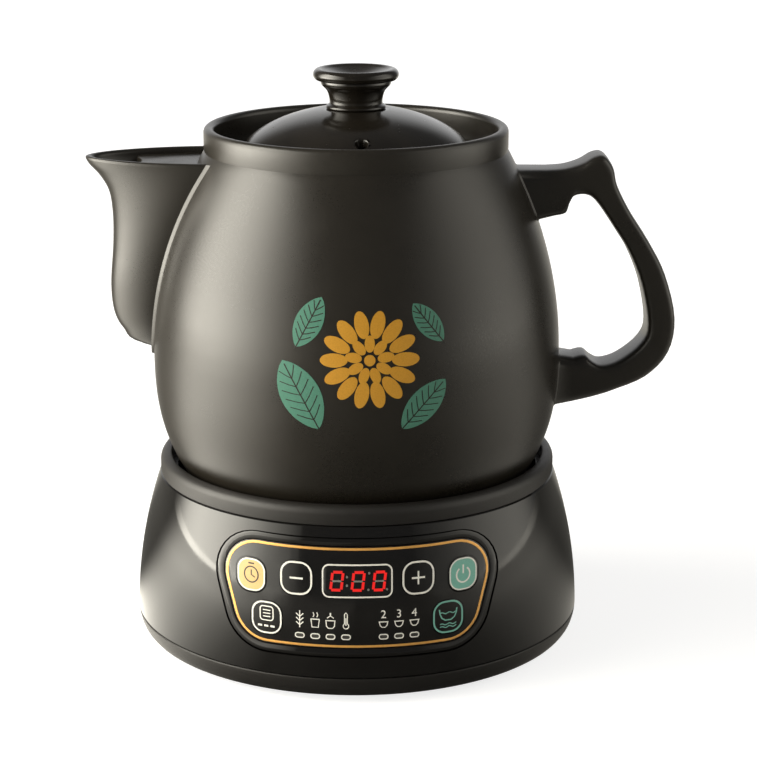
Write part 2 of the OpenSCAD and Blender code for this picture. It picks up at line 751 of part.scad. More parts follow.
module heater_plate() {
    hole_r = sensor_r + 0.3;
    color([0.72, 0.72, 0.70]) place() difference() {
        union() {
            turned([[hole_r, plate_bottom_z], [plate_hub_r, plate_bottom_z],
                    [plate_hub_r, plate_top_z - plate_t], [plate_r, plate_top_z - plate_t],
                    [plate_r, plate_top_z - 0.6], [plate_r - 0.6, plate_top_z],
                    [hole_r, plate_top_z]]);
            at_studs() translate([0, 0, shield_z - shield_t - nut_h - 1])
                cylinder(h = plate_bottom_z - shield_z + shield_t + nut_h + 3, r = stud_r, $fn = 32);
        }
        translate([0, 0, element_z]) rotate_extrude($fn = 96)
            translate([element_r, 0]) circle(r = tube_r + 0.1, $fn = 32);
    }
}

module heating_element() {
    end_z = shield_z - shield_t - 7;
    color([0.55, 0.53, 0.50]) place() union() {
        translate([0, 0, element_z]) element_path(tube_r);
        at_element_ends() {
            translate([0, 0, shield_z - shield_t - 2])
                cylinder(h = element_z - shield_z + shield_t + 2, r = tube_r + 0.3, $fn = 32);
            translate([0, 0, end_z]) cylinder(h = 8, r = 1.2, $fn = 24);
        }
    }
}

holder_r = sensor_r + 3.1;

module heat_shield() {
    shield_r = plate_hub_r - 1;
    color([0.66, 0.66, 0.64]) place() difference() {
        turned([[0, shield_z - shield_t], [shield_r + 1, shield_z - shield_t],
                [shield_r + 1, plate_bottom_z], [shield_r, plate_bottom_z],
                [shield_r, shield_z], [0, shield_z]]);
        at_studs() translate([0, 0, shield_z - 4]) cylinder(h = 8, r = stud_r + 0.3, $fn = 32);
        at_element_ends() translate([0, 0, shield_z - 4])
            cylinder(h = 8, r = tube_r + 1.5, $fn = 32);
        translate([0, 0, shield_z - 4]) cylinder(h = 8, r = 3, $fn = 32);
    }
}

module heater_nuts() {
    color("silver") place() at_studs() translate([0, 0, shield_z - shield_t - nut_h])
        difference() {
            cylinder(h = nut_h, r = 4.6, $fn = 6);
            translate([0, 0, -1]) cylinder(h = nut_h + 2, r = stud_r + 0.02, $fn = 32);
        }
}

// ---------------------------------------------------------------- sensor

cap_top_z = plate_top_z + sensor_travel;
collar_z = plate_bottom_z - 0.1;
collar_t = 1.4;
holder_floor_t = 1.2;
spring_wire_r = 0.6;

module sensor_cap() {
    color([0.78, 0.77, 0.74]) place() turned([
        [0, cap_top_z - 1.2], [sensor_r - 1, cap_top_z - 1.2], [sensor_r - 1, collar_z - collar_t],
        [sensor_r + 1.4, collar_z - collar_t], [sensor_r + 1.4, collar_z], [sensor_r, collar_z],
        [sensor_r, cap_top_z - 0.8], [sensor_r - 0.8, cap_top_z], [0, cap_top_z]
    ]);
}

module sensor_holder() {
    color([0.60, 0.58, 0.54]) place() turned([
        [2.5, shield_z], [holder_r, shield_z], [holder_r, plate_bottom_z - 0.05],
        [holder_r - 1.1, plate_bottom_z - 0.05], [holder_r - 1.1, shield_z + holder_floor_t],
        [2.5, shield_z + holder_floor_t]
    ]);
}

module sensor_spring() {
    coils = 5;
    per_turn = 12;
    z0 = shield_z + holder_floor_t + spring_wire_r;
    z1 = collar_z - collar_t - spring_wire_r - 0.1;
    coil_r = sensor_r + 0.6;
    color("silver") place() tube([
        for (i = [0 : coils * per_turn])
            [coil_r * cos(360 * i / per_turn), coil_r * sin(360 * i / per_turn),
             z0 + (z1 - z0) * i / (coils * per_turn)]
    ], spring_wire_r, 6);
}

fuse_r = 2.2;
fuse_l = 14;
fuse_place = [-2, -38];
fuse_z = shield_z - shield_t - fuse_r - 0.3;

module thermal_fuse() {
    color([0.85, 0.83, 0.78]) place() translate([fuse_place[0], fuse_place[1], fuse_z])
        rotate([0, 90, 0]) {
            cylinder(h = fuse_l, r = fuse_r, center = true, $fn = 32);
            cylinder(h = fuse_l + 12, r = 0.5, center = true, $fn = 16);
        }
}

module fuse_clip() {
    color("silver") place() translate([fuse_place[0], fuse_place[1], fuse_z]) difference() {
        translate([-4, -fuse_r - 1, -fuse_r - 1]) cube([8, 2 * fuse_r + 8, 2 * fuse_r + 1.3]);
        rotate([0, 90, 0]) cylinder(h = 20, r = fuse_r + 0.05, center = true, $fn = 32);
        translate([-5, fuse_r + 1, -fuse_r - 2]) cube([10, 8, 2 * fuse_r + 1.3]);
    }
}

// ---------------------------------------------------------------- front panel

bezel_d = 0.5;
panel_d = 1.2;
panel_t = 2;
ledge_d = panel_d + panel_t + 0.05;
bezel_back_d = 4.1;

module panel_bezel() {
    color([0.30, 0.27, 0.23]) place() difference() {
        union() {
            front_patch(panel_outline(bezel_w), bezel_d, bezel_back_d);
            front_patch(panel_outline(bezel_w + 2.4), shell_wall + 0.1, bezel_back_d);
        }
        front_patch(panel_outline(0.1), -2, ledge_d);
        front_patch(panel_outline(-1.2), 0, 8);
    }
}

// Keys: name, x, height
key_places = [
    [-outer_key_x, key_row_z], [-inner_key_x, key_row_z + 1.2], [inner_key_x, key_row_z + 1.2],
    [outer_key_x, key_row_z], [-low_key_x, low_row_z], [low_key_x, low_row_z]
];

// Outline of a key; it narrows with the curve of the shell
function key_outline(p, g) =
    let (w = key_size * sqrt(1 - pow(p[0] / shell_r(p[1]), 2)))
    moved(rounded_box(w + 2 * g, key_size - 0.4 + 2 * g, 6 + g, 5), p[0], p[1]);

window_z = 60.2;
light_xs = [-27.2, -19.9, -12.7, -5.4, 12.3, 19.6, 26.9];
light_z = 33.9;
light_w = 4.2;
light_h = 2.3;

function window_outline(g) =
    moved(rounded_box(window_w + 2 * g, window_h + 2 * g, 2.4 + g, 4), 0, window_z);

function light_outline(x, g) =
    moved(rounded_box(light_w + 2 * g, light_h + 2 * g, 1.1 + g, 4), x, light_z);

module control_panel() {
    color([0.24, 0.22, 0.19]) place() difference() {
        front_patch(panel_outline(-0.05), panel_d, panel_d + panel_t);
        for (p = key_places) from_front(key_outline(p, 0.25));
        for (x = light_xs) from_front(light_outline(x, 0.05));
        from_front(window_outline(0.1));
        // groove for the gold line
        difference() {
            front_patch(panel_outline(-0.6), panel_d - 1, panel_d + 0.45);
            from_front(panel_outline(-0.7 - gold_w));
        }
    }
}

module gold_trim() {
    color([0.85, 0.66, 0.36]) place() difference() {
        front_patch(panel_outline(-0.65), panel_d - 0.1, panel_d + 0.4);
        from_front(panel_outline(-0.65 - gold_w));
    }
}

module display_window() {
    color([0.10, 0.12, 0.12, 0.6]) place()
        front_patch(window_outline(0), panel_d, panel_d + panel_t - 0.2);
}

switch_h = 3.4;
plunger_h = 1.1;
// Circuit board behind the panel, as far back as the outer keys' stems need
stem_l = 2.2;
key_back_d = panel_d + panel_t + fit_gap + 1;
board_y_front = stem_l + switch_h + plunger_h
    - sqrt(pow(shell_r(key_row_z) - key_back_d, 2) - pow(outer_key_x, 2));
board_t = 1.6;
board_half_w = 54;
board_z0 = 27;
board_z1 = 69;
key_flange = 0.8;

// A key with a flange behind the panel and a stem to its switch
module key(p) {
    y_switch = board_y_front - switch_h - plunger_h;
    behind = panel_d + panel_t + fit_gap;
    color([0.24, 0.22, 0.19]) place() union() {
        front_patch(key_outline(p, 0), panel_d, behind + 1);
        front_patch(key_outline(p, key_flange), behind, behind + 1);
        pin_y(p[0], p[1], 2.2, -sqrt(pow(shell_r(p[1]) - behind - 0.5, 2) - p[0] * p[0]),
              y_switch - 0.05);
    }
}

module timer_key() key(key_places[0]);
module minus_key() key(key_places[1]);
module plus_key() key(key_places[2]);
module start_key() key(key_places[3]);
module mode_key() key(key_places[4]);
module water_key() key(key_places[5]);

module tact_switches() {
    color([0.15, 0.15, 0.15]) place() for (p = key_places) union() {
        translate([p[0] - 3, board_y_front - switch_h, p[1] - 3]) cube([6, switch_h, 6]);
        // the plunger stands clear of the key's stem by the key's travel
        pin_y(p[0], p[1], 1.6, board_y_front - switch_h - plunger_h + key_travel,
              board_y_front - switch_h + 1);
    }
}

module indicator_lights() {
    color([0.85, 0.87, 0.85]) place() for (x = light_xs)
        intersection() {
            shell_band(panel_d, 40, panel_bottom_z - 12, panel_top_z + 8);
            translate([0, board_y_front - 2.4, 0]) rotate([90, 0, 0])
                linear_extrude(40) polygon(light_outline(x, 0));
        }
}

module status_leds() {
    color([0.90, 0.90, 0.82]) place() for (x = light_xs)
        translate([x - 1.6, board_y_front - 2, light_z - 1]) cube([3.2, 2, 2]);
}

module_w = 30;
module_h = 12.8;
module_t = 7;
// The module's flat front lies just behind the curved panel, where that comes furthest in
module_y = 0.3 - sqrt(pow(shell_r(window_z + module_h / 2) - panel_d - panel_t, 2)
    - pow(module_w / 2, 2));

module display_module() {
    color([0.12, 0.12, 0.12]) place()
        translate([-module_w / 2, module_y, window_z - module_h / 2])
        cube([module_w, module_t, module_h]);
}

module display_holder() {
    front_y = module_y + module_t;
    color([0.85, 0.85, 0.82]) place() difference() {
        translate([-module_w / 2, front_y, window_z - module_h / 2])
            cube([module_w, board_y_front - front_y, module_h]);
        translate([-module_w / 2 + 2, front_y - 1, window_z - module_h / 2 + 2])
            cube([module_w - 4, board_y_front - front_y + 2, module_h - 4]);
    }
}

module buzzer() {
    color([0.08, 0.08, 0.08]) place() pin_y(0, 44, 6, board_y_front - 8, board_y_front);
}

bracket_x = 46;
bracket_t = 3;
board_screw_z = [31, 66];

module control_board() {
    color([0.10, 0.32, 0.18]) place() difference() {
        translate([-board_half_w, board_y_front, board_z0])
            cube([2 * board_half_w, board_t, board_z1 - board_z0]);
        for (s = [-1, 1], z = board_screw_z)
            pin_y(s * bracket_x, z, 1.6, board_y_front - 1, board_y_front + board_t + 1);
    }
}

module board_bracket() {
    y0 = board_y_front + board_t;
    color([0.75, 0.74, 0.70]) place() difference() {
        union() {
            for (s = [-1, 1]) translate([s * bracket_x - 4, y0, cover_floor_z])
                cube([8, bracket_t, board_z1 - cover_floor_z]);
            translate([-bracket_x, y0, cover_floor_z]) cube([2 * bracket_x, bracket_t, 10]);
            for (s = [-1, 1]) translate([s * bracket_x - 4, y0, cover_floor_z])
                cube([8, 12, 2.5]);
        }
        for (s = [-1, 1], z = board_screw_z)
            pin_y(s * bracket_x, z, 1.3, y0 - 1, y0 + bracket_t + 1);
    }
}

module board_screws() {
    color("silver") place() for (s = [-1, 1], z = board_screw_z) union() {
        pin_y(s * bracket_x, z, 2.6, board_y_front - 1.6, board_y_front);
        pin_y(s * bracket_x, z, 1.25, board_y_front - 1, board_y_front + board_t + bracket_t - 0.3);
    }
}

// ---------------------------------------------------------------- power parts

power_top_z = power_board_z + board_t;

// A block that stands on the power board
module on_power_board(x, y, size) translate([x, y, power_top_z]) cube(size);

module power_board() {
    color([0.10, 0.32, 0.18]) place() difference() {
        translate([board_x[0], board_y[0], power_board_z])
            cube([board_x[1] - board_x[0], board_y[1] - board_y[0], board_t]);
        at_posts() translate([0, 0, power_board_z - 1]) cylinder(h = 4, r = 1.6, $fn = 32);
    }
}

module power_relay() {
    color([0.12, 0.22, 0.45]) place() on_power_board(-36, 58, [19, 15.5, 15]);
}

module transformer() {
    color([0.80, 0.65, 0.20]) place() union() {
        on_power_board(20, 44, [18, 20, 15]);
        on_power_board(23, 40.5, [12, 27, 11]);
    }
}

module filter_capacitor() {
    color([0.15, 0.35, 0.25]) place() {
        translate([-26, 46, power_top_z]) cylinder(h = 14, r = 6.5, $fn = 48);
        translate([-3, 48, power_top_z]) cylinder(h = 12, r = 5, $fn = 48);
    }
}

connector_size = [8, 6, 7];
inlet_connector = [[-9, 76], [1, 76]];
heater_connector = [[-16, 60], [10, 60]];
sensor_connector = [-6, 34];
ribbon_connector = [22, 26 + 7];

module board_connectors() {
    color([0.92, 0.91, 0.88]) place() {
        for (p = concat(inlet_connector, heater_connector, [sensor_connector, ribbon_connector]))
            on_power_board(p[0], p[1], connector_size);
    }
}

socket_w = 24;
socket_h = 17;
socket_l = 24;
socket_wall = 1.6;

module power_inlet() {
    back_y = inlet_face_y - socket_l;
    color([0.06, 0.06, 0.06]) place() difference() {
        union() {
            translate([-flange_w / 2, inlet_face_y - inlet_pocket_d, inlet_z - flange_h / 2])
                cube([flange_w, inlet_pocket_d, flange_h]);
            translate([-socket_w / 2, back_y, inlet_z - socket_h / 2])
                cube([socket_w, socket_l, socket_h]);
        }
        translate([-socket_w / 2 + socket_wall, back_y + 4, inlet_z - socket_h / 2 + socket_wall])
            cube([socket_w - 2 * socket_wall, socket_l, socket_h - 2 * socket_wall]);
        for (p = pin_places) translate([p[0] - pin_size[0] / 2, back_y - 1, p[1] - pin_size[1] / 2])
            cube([pin_size[0], 8, pin_size[1]]);
    }
}

pin_places = [[-7, inlet_z - 2], [7, inlet_z - 2], [0, inlet_z + 2.2]];
pin_size = [2, 4];

module inlet_pins() {
    back_y = inlet_face_y - socket_l;
    color([0.80, 0.68, 0.35]) place() for (p = pin_places)
        translate([p[0] - pin_size[0] / 2, back_y - 7, p[1] - pin_size[1] / 2])
            cube([pin_size[0], 7 + socket_l - 6, pin_size[1]]);
}

// ---------------------------------------------------------------- wiring

connector_top_z = power_top_z + connector_size[2];
wire_end_z = connector_top_z + 0.3;

// Wires from the inlet's pins to the board
module inlet_wires() {
    pin_y_back = inlet_face_y - socket_l - 7;
    color([0.45, 0.28, 0.15]) place() for (s = [0, 1]) {
        x = pin_places[s][0];
        c = inlet_connector[s] + [connector_size[0] / 2, connector_size[1] / 2];
        tube(smooth([[x, pin_y_back, inlet_z - 2], [x, pin_y_back - 4, inlet_z - 2.2],
                     [(x + c[0]) / 2, c[1] - 5.5, inlet_z - 5], [c[0], c[1] - 2.5, inlet_z - 9],
                     [c[0], c[1], connector_top_z + 2], [c[0], c[1], wire_end_z]], 3), 1.2, 8);
    }
}

// Wires from the board to the ends of the heating tube
module heater_wires() {
    end_z = shield_z - shield_t - 7;
    color([0.85, 0.85, 0.80]) place() for (s = [0, 1]) {
        side = s == 0 ? -1 : 1;
        x = side * element_r * sin(element_gap);
        y = element_r * cos(element_gap);
        c = heater_connector[s] + [connector_size[0] / 2, connector_size[1] / 2];
        tube(smooth([[x, y, end_z - 0.3], [x, y, end_z - 2], [(x * 2 + c[0]) / 3, y + 6, end_z - 3.4],
                     [c[0], c[1] - 3, connector_top_z + 4], [c[0], c[1], connector_top_z + 2],
                     [c[0], c[1], wire_end_z]], 3), 1.2, 8);
    }
}

// Lead of the sensor, through the floor of its holder to the board
module sensor_wires() {
    c = sensor_connector + [connector_size[0] / 2, connector_size[1] / 2];
    color([0.75, 0.15, 0.10]) place() tube(smooth([
        [0, 0, cap_top_z - 1.3 - sensor_travel - 4], [0, 0, shield_z + 4], [0, 0, shield_z - 3],
        [0, 5, shield_z - 8], [0, 20, shield_z - 10], [c[0], c[1] - 6, connector_top_z + 6],
        [c[0], c[1] - 1, connector_top_z + 2.4], [c[0], c[1], wire_end_z]], 3), 0.9, 8);
}

// Flat cable between the two boards
module ribbon_cable() {
    w = 7;
    t = 0.9;
    c = ribbon_connector + [connector_size[0] / 2, connector_size[1] / 2];
    y_board = board_y_front + board_t;
    route = smooth([[c[1], connector_top_z], [c[1] - 1, connector_top_z + 3],
                    [c[1] - 9, connector_top_z + 3], [10, 14], [-30, 12], [-60, 13],
                    [-74, 22], [-78, 34], [y_board + 0.1, 40]], 4);
    color([0.70, 0.70, 0.72]) place() loft([
        for (i = [0 : len(route) - 1])
            let (d = route[min(i + 1, len(route) - 1)] - route[max(i - 1, 0)],
                 n = [d[1], -d[0]] / norm(d) * t / 2, p = route[i])
            [for (q = [[-1, -1], [1, -1], [1, 1], [-1, 1]])
                [c[0] + q[0] * w / 2, p[0] + q[1] * n[0], p[1] + q[1] * n[1]]]
    ]);
}

pot_foot();
pot_body();
pot_collar();
pot_spout();
pot_handle();
lid_dome();
lid_knob();
rim_ring();
base_shell();
bottom_cover();
rubber_feet();
cover_screws();
well_liner();
centring_pads();
plate_gasket();
heater_plate();
heating_element();
heat_shield();
heater_nuts();
sensor_cap();
sensor_spring();
sensor_holder();
thermal_fuse();
fuse_clip();
panel_bezel();
control_panel();
gold_trim();
display_window();
indicator_lights();
timer_key();
minus_key();
plus_key();
start_key();
mode_key();
water_key();
tact_switches();
display_holder();
display_module();
status_leds();
buzzer();
control_board();
board_bracket();
board_screws();
power_board();
power_relay();
transformer();
filter_capacitor();
board_connectors();
power_inlet();
inlet_pins();
inlet_wires();
heater_wires();
sensor_wires();
ribbon_cable();
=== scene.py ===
"""Electric ceramic herb pot: the visible pieces, their finishes and the studio around them."""
import json
import math

import bmesh
import bpy
from bpy.props import FloatProperty, FloatVectorProperty, PointerProperty
from bpy.types import Operator, Panel, PropertyGroup
from mathutils import Euler, Matrix, Vector


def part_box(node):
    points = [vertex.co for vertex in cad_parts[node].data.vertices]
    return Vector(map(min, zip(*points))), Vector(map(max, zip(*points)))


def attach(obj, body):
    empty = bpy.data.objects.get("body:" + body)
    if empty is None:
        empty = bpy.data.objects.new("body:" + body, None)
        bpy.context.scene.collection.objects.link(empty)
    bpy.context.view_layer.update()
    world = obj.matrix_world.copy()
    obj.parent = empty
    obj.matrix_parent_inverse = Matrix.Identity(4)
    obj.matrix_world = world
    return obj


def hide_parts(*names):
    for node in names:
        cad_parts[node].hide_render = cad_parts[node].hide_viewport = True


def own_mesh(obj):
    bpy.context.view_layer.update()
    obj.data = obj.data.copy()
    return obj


bl_info = {
    "name": "Electric herb pot",
    "version": (1, 0, 0),
    "blender": (4, 5, 0),
    "location": "3D View > Sidebar > Herb Pot",
    "description": "Models, finishes and lights a ceramic herb pot on its heating base",
    "category": "Object",
}

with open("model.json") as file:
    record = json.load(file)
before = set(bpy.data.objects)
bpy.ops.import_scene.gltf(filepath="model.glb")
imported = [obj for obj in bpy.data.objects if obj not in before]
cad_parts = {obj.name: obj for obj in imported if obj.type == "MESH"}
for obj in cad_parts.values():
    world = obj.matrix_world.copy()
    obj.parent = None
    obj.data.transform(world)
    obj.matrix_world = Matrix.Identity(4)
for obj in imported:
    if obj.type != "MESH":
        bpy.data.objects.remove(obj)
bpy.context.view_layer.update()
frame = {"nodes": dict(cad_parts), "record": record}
MM = 0.001
# Points closer than this are one point
WELD = 0.001 * MM
RING_LOW, RING_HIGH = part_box("rim_ring")
AXIS_X = (RING_LOW.x + RING_HIGH.x) / 2
STAND_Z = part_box("heater_plate")[1].z
KEYS = ("timer_key", "minus_key", "plus_key", "start_key", "mode_key", "water_key")


def length(name, description, mm):
    return FloatProperty(name=name, description=description, default=mm * MM,
                         subtype="DISTANCE", unit="LENGTH")


def colour(name, description, red, green, blue):
    """A colour property; the shares are those of a screen colour, 0 to 255."""
    return FloatVectorProperty(name=name, description=description, subtype="COLOR", size=3,
                               default=screen(red, green, blue), min=0, max=1)


def screen(red, green, blue):
    """A screen colour from 0 to 255, as the linear colour that a shader needs."""
    shares = [c / 255 for c in (red, green, blue)]
    return tuple(c / 12.92 if c <= 0.04045 else ((c + 0.055) / 1.055) ** 2.4 for c in shares)


class HerbPotSizes(PropertyGroup):
    """The ceramic pot, its spout and its handle"""
    belly_r: length("Belly radius", "Widest radius of the pot", 101.6)
    belly_h: length("Belly height", "Height of the widest place above the foot", 93)
    neck_r: length("Neck radius", "Radius where the body meets the collar", 75.5)
    neck_h: length("Neck height", "Height of the neck above the foot", 192)
    foot_r: length("Foot radius", "Radius of the ring that the pot stands on", 56)
    wall: length("Wall", "Thickness of the ceramic", 5.5)
    collar_h: length("Collar height", "Height of the collar over the neck", 13)
    lip: length("Lip", "Thickness of the collar", 5.2)
    spout_reach: length("Spout reach", "From the pot's axis to the tip of the spout", 133.9)
    spout_half_w: length("Spout half width", "Half the width of the spout's top", 28.5)
    spout_wall: length("Spout wall", "Thickness of the spout", 4)
    handle_reach: length("Handle reach", "From the pot's axis to the back of the handle", 159)
    handle_w: length("Handle width", "Width of the handle, seen from its side", 25)
    dome_r: length("Dome radius", "Radius of the lid's curve", 81)
    dome_h: length("Dome height", "Height of the lid's dome", 27.5)
    knob_r: length("Knob radius", "Radius of the knob's disc", 21)
    knob_h: length("Knob height", "Height of the knob over the dome", 19.8)


class HerbBaseSizes(PropertyGroup):
    """The heating base and its control panel"""
    top_r: length("Shell top radius", "Outer radius at the top of the shell", 99.779)
    bottom_r: length("Shell bottom radius", "Outer radius at the foot of the shell", 112.579)
    bottom_z: length("Shell bottom", "Height of the seam with the bottom cover", 13.4)
    top_z: length("Shell top", "Height of the top of the shell", 85.1)
    bulge: length("Shell bulge", "How far the shell's side swells", 3)
    ring_h: length("Ring height", "Height of the ring over the shell", 9.4)
    ring_w: length("Ring width", "Width of the ring on top of the base", 6)
    panel_top_w: length("Panel top half width", "Half the width of the panel's top", 68.4)
    panel_bottom_w: length("Panel bottom half width", "Half the width of its bottom", 55.4)
    panel_bottom_z: length("Panel bottom", "Height of the panel's lower edge", 28.2)
    panel_top_z: length("Panel top", "Height of the panel's upper edge", 75.9)
    bezel_w: length("Bezel width", "Width of the frame around the panel", 3.9)
    panel_d: length("Panel depth", "How far the panel lies under the shell's surface", 1.2)
    key: length("Key size", "Width of a key", 16.4)


class HerbPotColours(PropertyGroup):
    """The colours of the visible finishes"""
    ceramic: colour("Ceramic", "Dark warm clay of the pot", 30, 27, 22)
    glaze: colour("Lid glaze", "Glaze of the lid and its knob", 24, 21, 17)
    gloss: colour("Base gloss", "Glossy plastic of the base", 16, 15, 14)
    matte: colour("Base matte", "Matt plastic of the ring and the cover", 26, 24, 22)
    panel: colour("Panel film", "Dark film of the control panel", 17, 16, 15)
    gold: colour("Gold line", "Line around the panel", 226, 168, 88)
    ochre: colour("Ochre", "Ochre of the print", 203, 146, 38)
    teal: colour("Teal", "Teal of the print", 72, 128, 108)
    sand: colour("Sand", "Fill of the timer key", 218, 178, 114)
    mint: colour("Mint", "Fill of the start key and marks of the water key", 122, 186, 170)
    pale: colour("Pale print", "Pale print on the panel", 240, 238, 230)
    lit: colour("Lit digits", "Red of the display's digits", 238, 30, 26)


def pot_sizes():
    return bpy.context.scene.herb_pot_sizes


def base_sizes():
    return bpy.context.scene.herb_base_sizes


def colours():
    return bpy.context.scene.herb_pot_colours


# ------------------------------------------------------------ outlines

def arc(cx, cy, radius, start, end, steps):
    """Points along an arc; angles are in degrees."""
    angles = [math.radians(start + (end - start) * i / steps) for i in range(steps + 1)]
    return [(cx + radius * math.cos(a), cy + radius * math.sin(a)) for a in angles]


def spread(low, high, steps):
    return [low + (high - low) * i / steps for i in range(steps + 1)]


def smooth(points, steps):
    """A smooth curve through points of any number of coordinates."""
    last = len(points) - 1
    result = []
    for i in range(last):
        a, b, c, d = (points[max(i - 1, 0)], points[i], points[i + 1], points[min(i + 2, last)])
        for k in range(steps):
            t = k / steps
            result.append(tuple(
                0.5 * (2 * q + (r - p) * t + (2 * p - 5 * q + 4 * r - s) * t * t
                       + (3 * q - p - 3 * r + s) * t ** 3)
                for p, q, r, s in zip(a, b, c, d)))
    return result + [tuple(points[last])]


def soft_power(value, power):
    return math.copysign(abs(value) ** power, value)


def rounded(corners, radius, turn_steps=8, side_steps=1):
    """A closed outline with round corners and evenly divided sides."""
    arcs = []
    count = len(corners)
    for i, corner in enumerate(corners):
        b = Vector(corner)
        u = (Vector(corners[i - 1]) - b).normalized()
        v = (Vector(corners[(i + 1) % count]) - b).normalized()
        half = u.angle(v) / 2
        middle = b + (u + v).normalized() * radius / math.sin(half)
        p = b + u * radius / math.tan(half) - middle
        turn = p.angle_signed(b + v * radius / math.tan(half) - middle)
        arcs.append([middle + Matrix.Rotation(-turn * k / turn_steps, 2) @ p
                     for k in range(turn_steps + 1)])
    outline = []
    for i, bend in enumerate(arcs):
        onward = arcs[(i + 1) % count][0]
        outline += bend + [bend[-1].lerp(onward, k / side_steps) for k in range(1, side_steps)]
    return [tuple(p) for p in outline]


def rounded_box(width, height, radius, x=0, z=0, turn_steps=6, side_steps=3):
    corners = [(-width / 2, -height / 2), (width / 2, -height / 2),
               (width / 2, height / 2), (-width / 2, height / 2)]
    return [(p[0] + x, p[1] + z) for p in rounded(corners, radius, turn_steps, side_steps)]


def ellipse(x, z, half_w, half_h, turn=0, steps=48):
    """An upright ellipse, turned by a number of degrees."""
    spin = Matrix.Rotation(math.radians(turn), 2)
    return [(x + p.x, z + p.y) for p in (
        spin @ Vector((half_w * math.cos(a), half_h * math.sin(a)))
        for a in (math.tau * i / steps for i in range(steps)))]


def scaled(outline, share):
    """The outline drawn in towards its middle."""
    x = sum(p[0] for p in outline) / len(outline)
    z = sum(p[1] for p in outline) / len(outline)
    return [(x + (p[0] - x) * share, z + (p[1] - z) * share) for p in outline]


# ------------------------------------------------------------ modelling

def deselect():
    bpy.ops.object.select_all(action="DESELECT")


def only(obj):
    """Selects one object and nothing else, with all its mesh selected for editing."""
    deselect()
    obj.select_set(True)
    bpy.context.view_layer.objects.active = obj
    return obj


def place_in_mesh(obj):
    only(obj)
    bpy.ops.object.transform_apply(location=True, rotation=True, scale=True)
    return obj


def tidy(obj):
    """Merges doubles and turns the faces of a closed shape outwards."""
    only(obj)
    bpy.ops.object.mode_set(mode="EDIT")
    bpy.ops.mesh.select_all(action="SELECT")
    bpy.ops.mesh.remove_doubles(threshold=WELD)
    bpy.ops.mesh.normals_make_consistent(inside=False)
    bpy.ops.object.mode_set(mode="OBJECT")
    return obj


def turned(name, profile, steps=128, centre=None):
    """A turned solid: the profile is drawn point by point and spun round an upright axis."""
    centre = Vector((AXIS_X, 0, 0)) if centre is None else Vector(centre)
    points = [centre + Vector((r, 0, z)) for r, z in profile]
    deselect()
    bpy.ops.mesh.primitive_plane_add(size=MM, location=points[0])
    obj = place_in_mesh(bpy.context.object)
    obj.name = name
    bpy.ops.object.mode_set(mode="EDIT")
    bpy.ops.mesh.select_all(action="SELECT")
    bpy.ops.mesh.merge(type="CENTER")
    for a, b in zip(points, points[1:]):
        bpy.ops.mesh.extrude_vertices_move(TRANSFORM_OT_translate={"value": b - a})
    bpy.ops.mesh.select_all(action="SELECT")
    bpy.ops.mesh.spin(steps=steps, angle=math.tau, center=centre, axis=(0, 0, 1))
    bpy.ops.object.mode_set(mode="OBJECT")
    return tidy(obj)


def lofted(name, rings, ends="fill"):
    """A skin through rings of points: a circle is extruded from ring to ring.
    ends is fill, to close both ends, or join, to run back into the first ring."""
    if ends == "join":
        rings = rings + [rings[0]]
    deselect()
    bpy.ops.mesh.primitive_circle_add(vertices=len(rings[0]), radius=MM, fill_type="NOTHING")
    obj = bpy.context.object
    obj.name = name
    bpy.ops.object.mode_set(mode="EDIT")
    mesh = bmesh.from_edit_mesh(obj.data)
    place = mesh.verts.layers.int.new("place")
    for k, vertex in enumerate(mesh.verts):
        vertex[place] = k
        vertex.co = rings[0][k]
    for ring in rings[1:]:
        bmesh.update_edit_mesh(obj.data)
        bpy.ops.mesh.extrude_edges_move()
        mesh = bmesh.from_edit_mesh(obj.data)
        place = mesh.verts.layers.int["place"]
        for vertex in mesh.verts:
            if vertex.select:
                vertex.co = ring[vertex[place]]
    mesh.verts.layers.int.remove(place)
    bmesh.update_edit_mesh(obj.data)
    bpy.ops.mesh.select_all(action="SELECT")
    bpy.ops.mesh.remove_doubles(threshold=WELD)
    if ends == "fill":
        bpy.ops.mesh.select_all(action="SELECT")
        bpy.ops.mesh.fill_holes(sides=0)
    bpy.ops.object.mode_set(mode="OBJECT")
    return tidy(obj)


def flat(outline, depth):
    """Points of a flat drawing, seen from the front, at a depth behind it."""
    return [Vector((x, depth, z)) for x, z in outline]


SHRINK = (0.82, 0.64, 0.46, 0.28, 0.1)


def plate(name, outline, back, front, edge=0.0):
    """A flat piece with enough points to be bent; edge rounds off its front."""
    rings = [flat(scaled(outline, share), back) for share in reversed(SHRINK)]
    rings += [flat(outline, back), flat(outline, front + edge)]
    rings += [flat(scaled(outline, share), front) for share in (0.985,) + SHRINK]
    return lofted(name, rings)


def stroke(name, path, width, back, front, closed=False):
    """A flat line of even width along a path."""
    points = [Vector(p) for p in path]
    count = len(points)
    rings = []
    for i, point in enumerate(points):
        before = points[i - 1] if closed or i else point
        after = points[(i + 1) % count] if closed or i < count - 1 else point
        way = (after - before).normalized()
        side = Vector((-way.y, way.x)) * width / 2
        a, b = point + side, point - side
        rings.append([Vector((p.x, depth, p.y))
                      for p, depth in ((a, back), (a, front), (b, front), (b, back))])
    return lofted(name, rings, "join" if closed else "fill")


def joined(name, pieces):
    only(pieces[0])
    for piece in pieces:
        piece.select_set(True)
    bpy.ops.object.join()
    pieces[0].name = name
    return pieces[0]


def applied(obj, kind, **settings):
    """Adds a modifier and applies it."""
    only(obj)
    modifier = obj.modifiers.new(kind, kind)
    for key, value in settings.items():
        setattr(modifier, key, value)
    bpy.ops.object.modifier_apply(modifier=modifier.name)
    return obj


